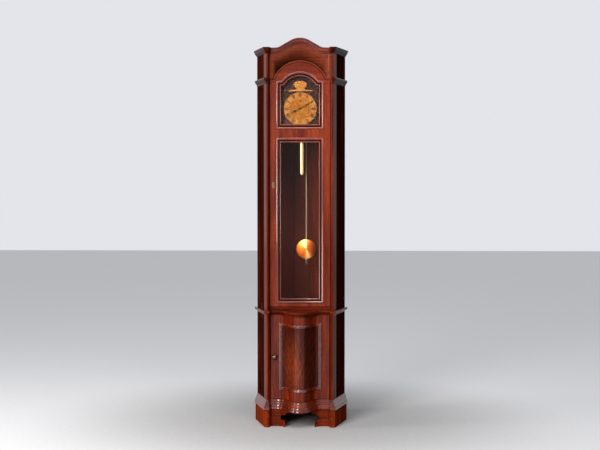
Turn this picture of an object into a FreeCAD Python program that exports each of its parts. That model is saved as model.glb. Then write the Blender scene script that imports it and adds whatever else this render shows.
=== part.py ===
import FreeCAD, Part
import math
import os

# A weight-driven corner clock in its case. Millimetres, +Z up, origin on the floor.
# X is across the front, -Y is the front and +Y runs back into the corner of the room.

# Driving sizes of the case
case_height = 2000.0
corner_half_width = 171.0        # outer edge of a corner post
post_nose_width = 8.0            # narrow flat front of a corner post
side_depth = 223.0               # from the front of the posts to the back of the canted sides
back_half_width = 232.0          # half the width where the canted sides end
back_corner_half = 48.0          # half the width of the board across the back corner
side_thickness = 20.0
front_setback = 36.0             # the doors stand this far behind the front of the posts
trunk_reveal_half = 156.6        # half the clear width between the trunk posts
base_reveal_half = 152.0         # half the clear width between the base posts
post_depth = 62.0                # measured along the canted side
door_gap = 1.5

# Heights of the case, from the floor up
plinth_top = 89.5
plinth_moulding_height = 50.5
base_door_gap = 2.0
base_height = 577.0              # to the underside of the waist board
waist_thickness = 23.0
trunk_rail_height = 19.5
bottom_rail_height = 42.0        # from the foot of the tall door to its lower window

# Heights of the hood, from the top down
arch_rise = 50.0
crown_drop = 30.0                # height of the crown moulding
hands_drop = 279.0               # from the top of the hood's sides to the hands' axis
arch_above_hands = 70.0          # centre of the dial window's arch
door_arch_above_hands = 98.5     # centre of the door's arched head
door_arch_radius = 137.0
shoulder_above_hands = 148.0
window_below_hands = 81.0
middle_rail_height = 95.0        # between the two windows of the tall door
capital_drop = 156.0

crown_flat_top = case_height - arch_rise
hood_top = crown_flat_top - crown_drop
hands_height = hood_top - hands_drop
dial_arch_centre = hands_height + arch_above_hands
door_arch_centre = hands_height + door_arch_above_hands
door_shoulder = hands_height + shoulder_above_hands
dial_window_low = hands_height - window_below_hands
trunk_window_high = dial_window_low - middle_rail_height
base_bottom = plinth_top + plinth_moulding_height
waist_bottom = base_height
waist_top = waist_bottom + waist_thickness
trunk_rail_top = waist_top + trunk_rail_height
door_bottom = trunk_rail_top + door_gap
trunk_window_low = door_bottom + bottom_rail_height
trunk_window_height = trunk_window_high - trunk_window_low

# Serpentine front of the base, in plan
bow_depth = 115.0
bow_nose_radius = 34.0
bow_hollow_radius = 60.0
bow_angle = math.radians(60.0)

# Movement, measured from the hands' axis
dial_front = 72.0
plate_front = 98.0               # front face of the movement's front plate
plate_gap = 50.0
plate_thickness = 3.0
arbor_radius = 1.2
pivot_clearance = 0.05
pendulum_plane = 172.0
cable_plane = 124.0
mesh_gap = 0.2                   # between the tips of a wheel and its pinion

# Small values shared by many pieces
overrun = 4.0                    # how far a cutting tool runs past what it cuts
flat_limit = 0.001               # volume below which four corners count as lying in one plane
seat_gap = 0.3
reveal_offset_share = 0.6        # a moulding stands out less on the inner face of a post

parts = {}


def vec(x, y, z=0.0):
    return FreeCAD.Vector(x, y, z)


def put(name, *solids):
    """Keep one node; several solids in it are like pieces of one kind."""
    parts[name] = solids[0] if len(solids) == 1 else Part.makeCompound(list(solids))


def mirrored(shape):
    return shape.mirror(vec(0, 0), vec(1, 0))


def fused(first, *others):
    """One solid from pieces that are glued or turned as one."""
    shape = first
    for other in others:
        shape = shape.fuse(other)
    return shape.removeSplitter()


def polygon_face(points):
    return Part.Face(Part.makePolygon(points + [points[0]]))


def plan_prism(points, low, high):
    """A board whose outline is drawn from above."""
    return polygon_face([vec(x, y, low) for x, y in points]).extrude(vec(0, 0, high - low))


def front_prism(points, near, far):
    """A board whose outline is drawn from the front."""
    return polygon_face([vec(x, near, z) for x, z in points]).extrude(vec(0, far - near, 0))


def block(x0, x1, y0, y1, z0, z1):
    return Part.makeBox(x1 - x0, y1 - y0, z1 - z0, vec(x0, y0, z0))


def rod_y(x, z, radius, near, far):
    return Part.makeCylinder(radius, far - near, vec(x, near, z), vec(0, 1, 0))


def rod_z(x, y, radius, low, high):
    return Part.makeCylinder(radius, high - low, vec(x, y, low), vec(0, 0, 1))


def band(first, second):
    """Faces between two matching outlines: flat where they can be, ruled where they follow an arc."""
    faces = []
    for a, b in zip(first.OrderedEdges, second.OrderedEdges):
        corners = [a.valueAt(a.FirstParameter), a.valueAt(a.LastParameter),
                   b.valueAt(b.LastParameter), b.valueAt(b.FirstParameter)]
        across, along, back = [corner.sub(corners[0]) for corner in corners[1:]]
        straight = isinstance(a.Curve, Part.Line) and isinstance(b.Curve, Part.Line)
        if straight and abs(across.cross(along).dot(back)) < flat_limit:
            faces.append(polygon_face(corners))
        else:
            faces.append(Part.makeRuledSurface(a, b))
    return faces


def shell_solid(wires, closed):
    """A solid from a run of matching outlines, with straight bands between them."""
    pairs = list(zip(wires, wires[1:] + ([wires[0]] if closed else [])))
    faces = [face for first, second in pairs for face in band(first, second)]
    if not closed:
        faces += [Part.Face(wires[0]), Part.Face(wires[-1])]
    shell = Part.makeShell(faces)
    shell.sewShape()
    solid = Part.Solid(shell)
    if solid.Volume < 0:
        solid.reverse()
    return solid


# Plan of the case

cant_run = math.hypot(back_half_width - corner_half_width, side_depth)
cant_along = ((back_half_width - corner_half_width) / cant_run, side_depth / cant_run)
cant_out = (cant_along[1], -cant_along[0])
back_sum = back_half_width + side_depth
nose_half = corner_half_width - post_nose_width


def meet(p, d, q, e):
    """Where the line through p along d crosses the line through q along e."""
    det = d[0] * -e[1] + e[0] * d[1]
    t = ((q[0] - p[0]) * -e[1] + e[0] * (q[1] - p[1])) / det
    return (p[0] + d[0] * t, p[1] + d[1] * t)


def plan_corners(offset, reveal_half):
    """The right half of the case's outline, moved outwards by offset: back, corner, nose, front."""
    reveal = (reveal_half - nose_half, front_setback)
    length = math.hypot(*reveal)
    reveal = (reveal[0] / length, reveal[1] / length)
    inward = offset * reveal_offset_share
    cant_start = (corner_half_width + cant_out[0] * offset, cant_out[1] * offset)
    reveal_start = (nose_half - reveal[1] * inward, reveal[0] * inward)
    back = meet(cant_start, cant_along, (back_sum, 0), (-1, 1))
    corner = meet(cant_start, cant_along, (0, -offset), (1, 0))
    nose = meet(reveal_start, reveal, (0, -offset), (1, 0))
    front = meet(reveal_start, reveal, (0, front_setback - offset), (1, 0))
    return back, corner, nose, front


def cant_point(along, depth):
    """A point on the right canted side: along it from the front corner, and inwards from its face."""
    return (corner_half_width + cant_along[0] * along - cant_out[0] * depth,
            cant_along[1] * along - cant_out[1] * depth)


bow_rounds = bow_nose_radius + bow_hollow_radius
bow_flank = (bow_depth - bow_rounds * (1 - math.cos(bow_angle))) / math.sin(bow_angle)
bow_half_width = bow_rounds * math.sin(bow_angle) + bow_flank * math.cos(bow_angle)
bow_tip = front_setback - bow_depth


def bow_edges(offset, height, half_end, forward=True):
    """The serpentine front from left to right, moved outwards by offset, ending at x = half_end."""
    nose_r = bow_nose_radius + offset
    hollow_r = bow_hollow_radius - offset
    flat_y = front_setback - offset
    nose_c = (0, bow_tip + bow_nose_radius)
    hollow_c = (bow_half_width, front_setback - bow_hollow_radius)

    def on_nose(angle):
        return vec(nose_c[0] + nose_r * math.sin(angle), nose_c[1] - nose_r * math.cos(angle), height)

    def on_hollow(side, angle):
        return vec(side * (hollow_c[0] - hollow_r * math.sin(angle)),
                   hollow_c[1] + hollow_r * math.cos(angle), height)

    half = bow_angle / 2
    left_end = vec(-half_end, flat_y, height)
    right_end = vec(half_end, flat_y, height)
    edges = [
        Part.makeLine(left_end, on_hollow(-1, 0)),
        Part.Arc(on_hollow(-1, 0), on_hollow(-1, half), on_hollow(-1, bow_angle)).toShape(),
        Part.makeLine(on_hollow(-1, bow_angle), on_nose(-bow_angle)),
        Part.Arc(on_nose(-bow_angle), on_nose(0), on_nose(bow_angle)).toShape(),
        Part.makeLine(on_nose(bow_angle), on_hollow(1, bow_angle)),
        Part.Arc(on_hollow(1, bow_angle), on_hollow(1, half), on_hollow(1, 0)).toShape(),
        Part.makeLine(on_hollow(1, 0), right_end),
    ]
    if forward:
        return edges
    return [reversed_edge(edge) for edge in edges[::-1]]


def reversed_edge(edge):
    a, b = edge.valueAt(edge.FirstParameter), edge.valueAt(edge.LastParameter)
    if isinstance(edge.Curve, Part.Circle):
        middle = edge.valueAt((edge.FirstParameter + edge.LastParameter) / 2)
        return Part.Arc(b, middle, a).toShape()
    return Part.makeLine(b, a)


def bowed_strip(outer, inner, half_end, low, high):
    """A board that follows the serpentine front between two offsets."""
    front = bow_edges(outer, low, half_end)
    back = bow_edges(inner, low, half_end, forward=False)
    near = front_setback - outer
    far = front_setback - inner
    right = Part.makeLine(vec(half_end, near, low), vec(half_end, far, low))
    left = Part.makeLine(vec(-half_end, far, low), vec(-half_end, near, low))
    return Part.Face(Part.Wire(front + [right] + back + [left])).extrude(vec(0, 0, high - low))


def case_line(offset, height):
    """The whole serpentine outline of the base, from the left back to the right back."""
    back, corner, nose, front = [vec(x, y, height) for x, y in plan_corners(offset, base_reveal_half)]
    left = [vec(-p.x, p.y, p.z) for p in (back, corner, nose, front)]
    edges = [Part.makeLine(a, b) for a, b in zip(left, left[1:])]
    edges += bow_edges(offset, height, front.x)
    right = [front, nose, corner, back]
    return edges + [Part.makeLine(a, b) for a, b in zip(right, right[1:])]


def inner_line(depth, height):
    """The line inside the base's serpentine outline: straight canted sides and the bowed front."""
    cant_start = cant_point(0, depth)
    back = meet(cant_start, cant_along, (back_sum, 0), (-1, 1))
    front = meet(cant_start, cant_along, (0, front_setback + depth), (1, 0))
    edges = [Part.makeLine(vec(-back[0], back[1], height), vec(-front[0], front[1], height))]
    edges += bow_edges(-depth, height, front[0])
    return edges + [Part.makeLine(vec(front[0], front[1], height), vec(back[0], back[1], height))]


def closed_at_back(edges, height):
    """A closed outline from a line round the front and sides, its back edges on the walls of the room."""
    right = edges[-1].valueAt(edges[-1].LastParameter)
    cut_y = back_sum - back_corner_half
    back = [right, vec(back_corner_half, cut_y, height), vec(-back_corner_half, cut_y, height),
            vec(-right.x, right.y, height)]
    return Part.Wire(edges + [Part.makeLine(a, b) for a, b in zip(back, back[1:])])


def base_ring_wire(offset, depth, height):
    """Closed outline of a strip along the front and sides of the base, open at the back."""
    outer = case_line(offset, height)
    inner = [reversed_edge(edge) for edge in inner_line(depth, height)[::-1]]
    out_right = outer[-1].valueAt(outer[-1].LastParameter)
    in_right = inner[0].valueAt(inner[0].FirstParameter)
    cap_right = Part.makeLine(out_right, in_right)
    cap_left = Part.makeLine(vec(-in_right.x, in_right.y, height), vec(-out_right.x, out_right.y, height))
    return Part.Wire(outer + [cap_right] + inner + [cap_left])


# Plinth

plinth_board = 20.0
plinth_offset = 13.0             # the plinth stands this far outside the base
foot_half_gap = 77.0             # half the gap between the feet on the floor
apron_top = 85.0
apron_flat_half = 46.0
scroll_centre_x = 87.0
scroll_centre_z = 47.0
scroll_radius = 14.0
foot_toe_height = 30.0
# Each point: share of the moulding's height, and offset outside the base
plinth_shares = [(0.0, 17.5), (0.05, 19.0), (0.14, 17.5), (0.2, 16.0), (0.32, 16.0), (0.44, 14.0),
                 (0.53, 9.5), (0.74, 8.0), (0.83, 4.5), (0.94, 3.0), (1.0, 0.5)]
plinth_profile = [(share * plinth_moulding_height, offset) for share, offset in plinth_shares]
plinth_strip_depth = 20.0


def apron_opening():
    """The opening between the feet: a flat head, quarter hollows, and a round scroll in each foot."""
    hollow_z = scroll_centre_z + scroll_radius
    hollow_x = scroll_centre_x - scroll_radius / 2
    lift = scroll_radius / 4
    middle = ((apron_flat_half + hollow_x) / 2 + lift, (apron_top + hollow_z) / 2 + lift)
    near = bow_tip - bow_depth

    def v(x, z):
        return vec(x, near, z)

    edges = [
        Part.makeLine(v(-foot_half_gap, -overrun), v(-foot_half_gap, foot_toe_height)),
        Part.makeLine(v(-foot_half_gap, foot_toe_height), v(-hollow_x, hollow_z)),
        Part.Arc(v(-hollow_x, hollow_z), v(-middle[0], middle[1]), v(-apron_flat_half, apron_top)).toShape(),
        Part.makeLine(v(-apron_flat_half, apron_top), v(apron_flat_half, apron_top)),
        Part.Arc(v(apron_flat_half, apron_top), v(middle[0], middle[1]), v(hollow_x, hollow_z)).toShape(),
        Part.makeLine(v(hollow_x, hollow_z), v(foot_half_gap, foot_toe_height)),
        Part.makeLine(v(foot_half_gap, foot_toe_height), v(foot_half_gap, -overrun)),
        Part.makeLine(v(foot_half_gap, -overrun), v(-foot_half_gap, -overrun)),
    ]
    reach = bow_depth + side_depth
    opening = Part.Face(Part.Wire(edges)).extrude(vec(0, reach, 0))
    for side in (-1, 1):
        scroll = rod_y(side * scroll_centre_x, scroll_centre_z, scroll_radius, near, near + reach)
        opening = opening.fuse(scroll)
    return opening


def plinth_strip():
    """The moulding on the plinth, before it is mitred at the corners."""
    wires = [base_ring_wire(offset, plinth_strip_depth, plinth_top + rise) for rise, offset in plinth_profile]
    return shell_solid(wires, closed=False)


def make_plinth():
    ring = base_ring_wire(plinth_offset, plinth_board - plinth_offset, 0)
    boards = Part.Face(ring).extrude(vec(0, 0, plinth_top))
    reach = back_half_width + bow_depth
    split = nose_half + post_nose_width / 2
    front_zone = block(-split, split, -reach, side_depth / 2, 0, plinth_top)
    put("plinth_front", boards.common(front_zone).cut(apron_opening()))
    side_zone = block(split, reach, -reach, reach, 0, plinth_top)
    side = boards.common(side_zone)
    put("plinth_side_right", side)
    put("plinth_side_left", mirrored(side))

    strip = plinth_strip().cut(pivot(base_door_half, base_door_low, pivot_clearance))
    front = strip.common(block(-split, split, -reach, reach, plinth_top, base_bottom))
    side = strip.common(block(split, reach, -reach, reach, plinth_top, base_bottom))
    put("plinth_moulding", front, side, mirrored(side))


# Base cupboard

base_floor_thickness = 18.0
base_door_low = base_bottom + base_door_gap
base_door_high = waist_bottom - door_gap
base_low_rail = 32.0
base_top_rail = 21.0
base_recess_low = base_bottom + base_low_rail
base_recess_high = waist_bottom - base_top_rail
front_stile = 85.0               # from the front corner to the sunk panel, along the canted side
back_stile = 44.0
panel_depth = 9.0                # how far a side panel is sunk
panel_thickness = 7.0
stop_lip = 6.6                   # how far the stop behind a door stands into the opening
door_thickness = 22.0
frame_bead = 4.0                 # small step round a sunk panel


def corner_post(reveal_half, low, high):
    """Right corner post, and the stop strip behind the door that is glued to it."""
    inner = cant_point(post_depth, side_thickness)
    stop_y = front_setback + door_thickness + door_gap
    outline = [(nose_half, 0), (corner_half_width, 0), cant_point(post_depth, 0), inner,
               (reveal_half, inner[1]), (reveal_half, front_setback)]
    stop = block(reveal_half - stop_lip, reveal_half, stop_y, inner[1], low, high)
    return plan_prism(outline, low, high), stop


def side_frame(low, high, recess_low, recess_high):
    """Right canted side: stiles and rails round a window, with a groove that holds the panel."""
    face = [cant_point(post_depth, 0), cant_point(cant_run, 0),
            cant_point(cant_run, side_thickness), cant_point(post_depth, side_thickness)]
    frame = plan_prism(face, low, high)
    start, end = front_stile, cant_run - back_stile
    window = [cant_point(start, -overrun), cant_point(end, -overrun),
              cant_point(end, side_thickness + overrun), cant_point(start, side_thickness + overrun)]
    frame = frame.cut(plan_prism(window, recess_low, recess_high))
    groove = [cant_point(start - frame_bead, panel_depth), cant_point(end + frame_bead, panel_depth),
              cant_point(end + frame_bead, side_thickness + overrun),
              cant_point(start - frame_bead, side_thickness + overrun)]
    return frame.cut(plan_prism(groove, recess_low - frame_bead, recess_high + frame_bead))


def side_panel(recess_low, recess_high):
    """Right sunk panel, let into the frame's rebate from inside."""
    start, end = front_stile - frame_bead, cant_run - back_stile + frame_bead
    near, far = panel_depth, panel_depth + panel_thickness
    board = [cant_point(start, near), cant_point(end, near), cant_point(end, far), cant_point(start, far)]
    return plan_prism(board, recess_low - frame_bead, recess_high + frame_bead)


def make_base_case():
    low = base_bottom
    post, stop = corner_post(base_reveal_half, low, waist_bottom)
    put("base_post_right", post, stop)
    put("base_post_left", mirrored(post), mirrored(stop))
    frame = side_frame(low, waist_bottom, base_recess_low, base_recess_high)
    put("base_frame_right", frame)
    put("base_frame_left", mirrored(frame))
    panel = side_panel(base_recess_low, base_recess_high)
    put("base_side_panels", panel, mirrored(panel))
    floor_low = low - base_floor_thickness
    outline = closed_at_back(inner_line(plinth_strip_depth, floor_low), floor_low)
    put("base_floor", Part.Face(outline).extrude(vec(0, 0, base_floor_thickness)))


# Pivots of the doors

door_half_width = 155.0
base_door_half = base_reveal_half - door_gap
pin_radius = 3.0
pin_inset = 3.0                  # the pivots stand this far in from a door's front right edge
pin_length = 14.0                # each way from the end of the door


def pivot(half_width, height, clearance=0.0):
    """A door's pivot pin, or the hole it turns in."""
    reach = pin_length + (seat_gap if clearance else 0.0)
    return rod_z(half_width - pin_inset, front_setback + pin_inset, pin_radius + clearance,
                 height - reach, height + reach)


# Waist

# Each point: share of the board's thickness, and offset outside the base
waist_shares = [(0.0, 1.0), (0.2, 3.0), (0.34, 9.0), (0.5, 14.0), (0.66, 17.0), (0.88, 17.0), (1.0, 15.0)]
waist_profile = [(share * waist_thickness, offset) for share, offset in waist_shares]


def make_waist():
    wires = [closed_at_back(case_line(offset, waist_bottom + rise), waist_bottom + rise)
             for rise, offset in waist_profile]
    board = shell_solid(wires, closed=False)
    put("waist_board", board.cut(pivot(base_door_half, base_door_high, pivot_clearance)))
    rail = block(-trunk_reveal_half, trunk_reveal_half, front_setback, front_setback + door_thickness,
                 waist_top, trunk_rail_top)
    put("trunk_rail", rail.cut(pivot(door_half_width, door_bottom, pivot_clearance)))


# Trunk and hood

trunk_low_rail = 30.0
trunk_recess_low = waist_top + trunk_low_rail
capital_low = hood_top - capital_drop
capital_rail = 14.0
trunk_recess_high = capital_low - capital_rail
back_board_thickness = 8.0
corner_board_thickness = 10.0
capital_profile = [(0.0, 0.0), (4.0, 2.0), (9.0, 3.5), (15.0, 9.0), (21.0, 14.0), (27.0, 15.0), (32.0, 11.0)]
bolt_share = 0.728               # of the height of the trunk window
bolt_height = trunk_window_low + bolt_share * trunk_window_height
bolt_half_height = 9.0
bolt_thickness = 4.0
bolt_y = front_setback + door_thickness / 2
bolt_mortise_depth = 7.0


def cant_strip(profile, low):
    """A moulding along the right canted side and round the nose of the post."""
    wires = []
    for rise, offset in profile:
        back, corner = plan_corners(offset, trunk_reveal_half)[:2]
        points = [back, corner, (nose_half, -offset), (nose_half, 0), (corner_half_width, 0),
                  meet((corner_half_width, 0), cant_along, (back_sum, 0), (-1, 1))]
        points = [vec(x, y, low + rise) for x, y in points]
        wires.append(Part.makePolygon(points + [points[0]]))
    return shell_solid(wires, closed=False)


def make_trunk():
    post, stop = corner_post(trunk_reveal_half, waist_top, hood_top)
    put("trunk_post_right", post, stop)
    mortise = block(-trunk_reveal_half - bolt_mortise_depth, -trunk_reveal_half + overrun,
                    bolt_y - bolt_thickness, bolt_y + bolt_thickness,
                    bolt_height - bolt_half_height - door_gap, bolt_height + bolt_half_height + door_gap)
    put("trunk_post_left", mirrored(post).cut(mortise), mirrored(stop))
    frame = side_frame(waist_top, hood_top, trunk_recess_low, trunk_recess_high)
    put("trunk_frame_right", frame)
    put("trunk_frame_left", mirrored(frame))
    panel = side_panel(trunk_recess_low, trunk_recess_high)
    put("trunk_side_panels", panel, mirrored(panel))
    capital = cant_strip([(rise, offset + seat_gap) for rise, offset in capital_profile], capital_low)
    put("capital_mouldings", capital, mirrored(capital))


def make_back():
    low = base_bottom
    inner_sum = back_sum - back_board_thickness * math.sqrt(2)
    side_end = meet(cant_point(cant_run, 0), cant_out, (inner_sum, 0), (-1, 1))
    lean = back_board_thickness / math.sqrt(2)
    cut_y = back_sum - back_corner_half
    outline = [cant_point(cant_run, 0), (back_corner_half, cut_y),
               (back_corner_half - lean, cut_y - lean), side_end]
    floor_low = low - base_floor_thickness
    boards = [plan_prism(outline, 0, floor_low).cut(parts["plinth_side_right"]).cut(plinth_strip()),
              plan_prism(outline, low, waist_bottom), plan_prism(outline, waist_top, hood_top)]
    put("back_board_right", *boards)
    put("back_board_left", *[mirrored(board) for board in boards])
    deep = corner_board_thickness
    corner = [(back_corner_half, cut_y), (-back_corner_half, cut_y),
              (-back_corner_half + deep, cut_y - deep), (back_corner_half - deep, cut_y - deep)]
    spans = [(0, floor_low), (low, waist_bottom), (waist_top, hood_top)]
    put("corner_board", *[plan_prism(corner, bottom, top) for bottom, top in spans])


# Crown

frieze_thickness = 18.0
crown_projection = 20.0
top_board_thickness = 14.0
arch_crown_radius = 100.0
arch_hollow_radius = 54.5
arch_angle = math.radians(30.0)
arch_bead_width = 6.0
arch_bead_height = 4.0
crown_share = [(0.0, 1.0), (0.2, 1.0), (0.3, 0.82), (0.55, 0.72), (0.75, 0.4), (0.9, 0.25), (1.0, 0.1)]


def arch_line(drop, half_end, y):
    """The crown's arched line, lowered by drop, from left to right."""
    crown_r = arch_crown_radius - drop
    hollow_r = arch_hollow_radius + drop
    spread = arch_crown_radius + arch_hollow_radius
    flank = (arch_rise - spread * (1 - math.cos(arch_angle))) / math.sin(arch_angle)
    half_width = spread * math.sin(arch_angle) + flank * math.cos(arch_angle)
    crown_c = case_height - arch_crown_radius
    hollow_c = crown_flat_top + arch_hollow_radius

    def on_crown(angle):
        return vec(crown_r * math.sin(angle), y, crown_c + crown_r * math.cos(angle))

    def on_hollow(side, angle):
        return vec(side * (half_width - hollow_r * math.sin(angle)), y, hollow_c - hollow_r * math.cos(angle))

    half = arch_angle / 2
    return [
        Part.makeLine(vec(-half_end, y, crown_flat_top - drop), on_hollow(-1, 0)),
        Part.Arc(on_hollow(-1, 0), on_hollow(-1, half), on_hollow(-1, arch_angle)).toShape(),
        Part.makeLine(on_hollow(-1, arch_angle), on_crown(-arch_angle)),
        Part.Arc(on_crown(-arch_angle), on_crown(0), on_crown(arch_angle)).toShape(),
        Part.makeLine(on_crown(arch_angle), on_hollow(1, arch_angle)),
        Part.Arc(on_hollow(1, arch_angle), on_hollow(1, half), on_hollow(1, 0)).toShape(),
        Part.makeLine(on_hollow(1, 0), vec(half_end, y, crown_flat_top - drop)),
    ]


def make_frieze():
    back = front_setback + frieze_thickness
    top = arch_line(0, trunk_reveal_half, front_setback)
    low_z = door_shoulder + 2 * door_gap
    corners = [vec(trunk_reveal_half, front_setback, crown_flat_top),
               vec(trunk_reveal_half, front_setback, low_z), vec(-trunk_reveal_half, front_setback, low_z),
               vec(-trunk_reveal_half, front_setback, crown_flat_top)]
    outline = Part.Wire(top + [Part.makeLine(a, b) for a, b in zip(corners, corners[1:])])
    board = Part.Face(outline).extrude(vec(0, frieze_thickness, 0))
    inner = door_arch_radius + 2 * door_gap
    board = board.cut(rod_y(0, door_arch_centre, inner, front_setback - overrun, back + overrun))
    bead_near = front_setback - arch_bead_height
    ring = rod_y(0, door_arch_centre, inner + arch_bead_width, bead_near, front_setback)
    ring = ring.cut(rod_y(0, door_arch_centre, inner, bead_near - overrun, back))
    reach = door_arch_radius + arch_bead_width + overrun + door_thickness
    ring = ring.common(block(-reach, reach, 0, back, low_z, case_height))
    board = board.cut(pivot(door_half_width, door_shoulder, pivot_clearance))
    put("frieze_panel", board, ring)


def make_crown():
    section = [(0.0, front_setback)]
    section += [(share * crown_drop, front_setback - crown_projection * out) for share, out in crown_share]
    section.append((crown_drop, front_setback))
    wires = []
    for drop, y in section:
        mitre = plan_corners(front_setback - y, trunk_reveal_half)[3][0]
        wires.append(Part.Wire(arch_line(drop, mitre - seat_gap, y)))
    faces = [face for first, second in zip(wires, wires[1:] + [wires[0]]) for face in band(first, second)]
    for end in (0, -1):
        corners = [wire.OrderedVertexes[end].Point for wire in wires]
        faces.append(polygon_face(corners))
    shell = Part.makeShell(faces)
    shell.sewShape()
    front = Part.Solid(shell)
    if front.Volume < 0:
        front.reverse()
    put("crown_front", front)

    profile = [(crown_drop * (1 - share), crown_projection * out) for share, out in crown_share[::-1]]
    wires = []
    for rise, offset in profile:
        back, corner, nose, front = plan_corners(offset, trunk_reveal_half)
        in_back, in_corner, in_nose, in_front = plan_corners(0, trunk_reveal_half)
        points = [vec(x, y, hood_top + rise)
                  for x, y in (back, corner, nose, front, in_front, in_nose, in_corner, in_back)]
        wires.append(Part.makePolygon(points + [points[0]]))
    side = shell_solid(wires, closed=False)
    put("crown_sides", side, mirrored(side))

    back, corner, nose, front = plan_corners(0, trunk_reveal_half)
    cut_y = back_sum - back_corner_half
    behind = front_setback + frieze_thickness
    right = [back, (back_corner_half, cut_y)]
    points = [(trunk_reveal_half, behind), front, nose, corner] + right
    points += [(-x, y) for x, y in points[::-1]]
    put("top_board", plan_prism(points, hood_top, hood_top + top_board_thickness))


# Tall door

window_half = 97.0
rebate = 7.0                     # the door's frame stands back this far behind the window's edge
frame_opening_half = window_half + rebate
window_shoulder_rise = 46.0      # above the centre of the window's arch
window_shoulder = dial_arch_centre + window_shoulder_rise
dial_arch_radius = 94.0
lip_width = rebate - seat_gap    # the moulding's lip lies in the frame's opening
glass_thickness = 3.0
moulding_lip_back = 13.0
# Each point: distance outwards from the window's edge, and depth behind the front of the door
moulding_profile = [(26.0, 0.0), (26.0, -3.0), (22.0, -5.0), (16.0, -4.5), (11.0, -1.8),
                    (6.4, -0.5), (5.6, 3.0), (4.0, 4.6), (3.0, 4.4), (2.5, 3.0), (0.5, 3.0),
                    (0.0, 5.0), (0.0, moulding_lip_back), (lip_width, moulding_lip_back),
                    (lip_width, 0.0)]


def window_loop(outward, y, low, arched, high=0.0):
    """The window's outline moved outwards; the dial's window has an arch on small shoulders."""
    half = window_half + outward
    bottom = low - outward
    if not arched:
        top = high + outward
        points = [vec(-half, y, bottom), vec(-half, y, top), vec(half, y, top), vec(half, y, bottom)]
        return Part.makePolygon(points + [points[0]])
    shoulder = window_shoulder + outward
    radius = dial_arch_radius + outward
    rise = shoulder - dial_arch_centre
    chord = math.sqrt(radius ** 2 - rise ** 2)
    left = [vec(-half, y, bottom), vec(-half, y, shoulder), vec(-chord, y, shoulder)]
    right = [vec(chord, y, shoulder), vec(half, y, shoulder), vec(half, y, bottom)]
    edges = [Part.makeLine(a, b) for a, b in zip(left, left[1:])]
    edges.append(Part.Arc(left[-1], vec(0, y, dial_arch_centre + radius), right[0]).toShape())
    edges += [Part.makeLine(a, b) for a, b in zip(right, right[1:])]
    edges.append(Part.makeLine(right[-1], left[0]))
    return Part.Wire(edges)


def window_moulding(low, arched, high=0.0):
    loops = [window_loop(outward, front_setback + depth, low, arched, high)
             for outward, depth in moulding_profile]
    return shell_solid(loops, closed=True)


def window_pane(low, arched, high=0.0):
    near = front_setback + moulding_lip_back + seat_gap
    outline = window_loop(rebate - 2 * seat_gap, near, low, arched, high)
    return Part.Face(outline).extrude(vec(0, glass_thickness, 0))


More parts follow.
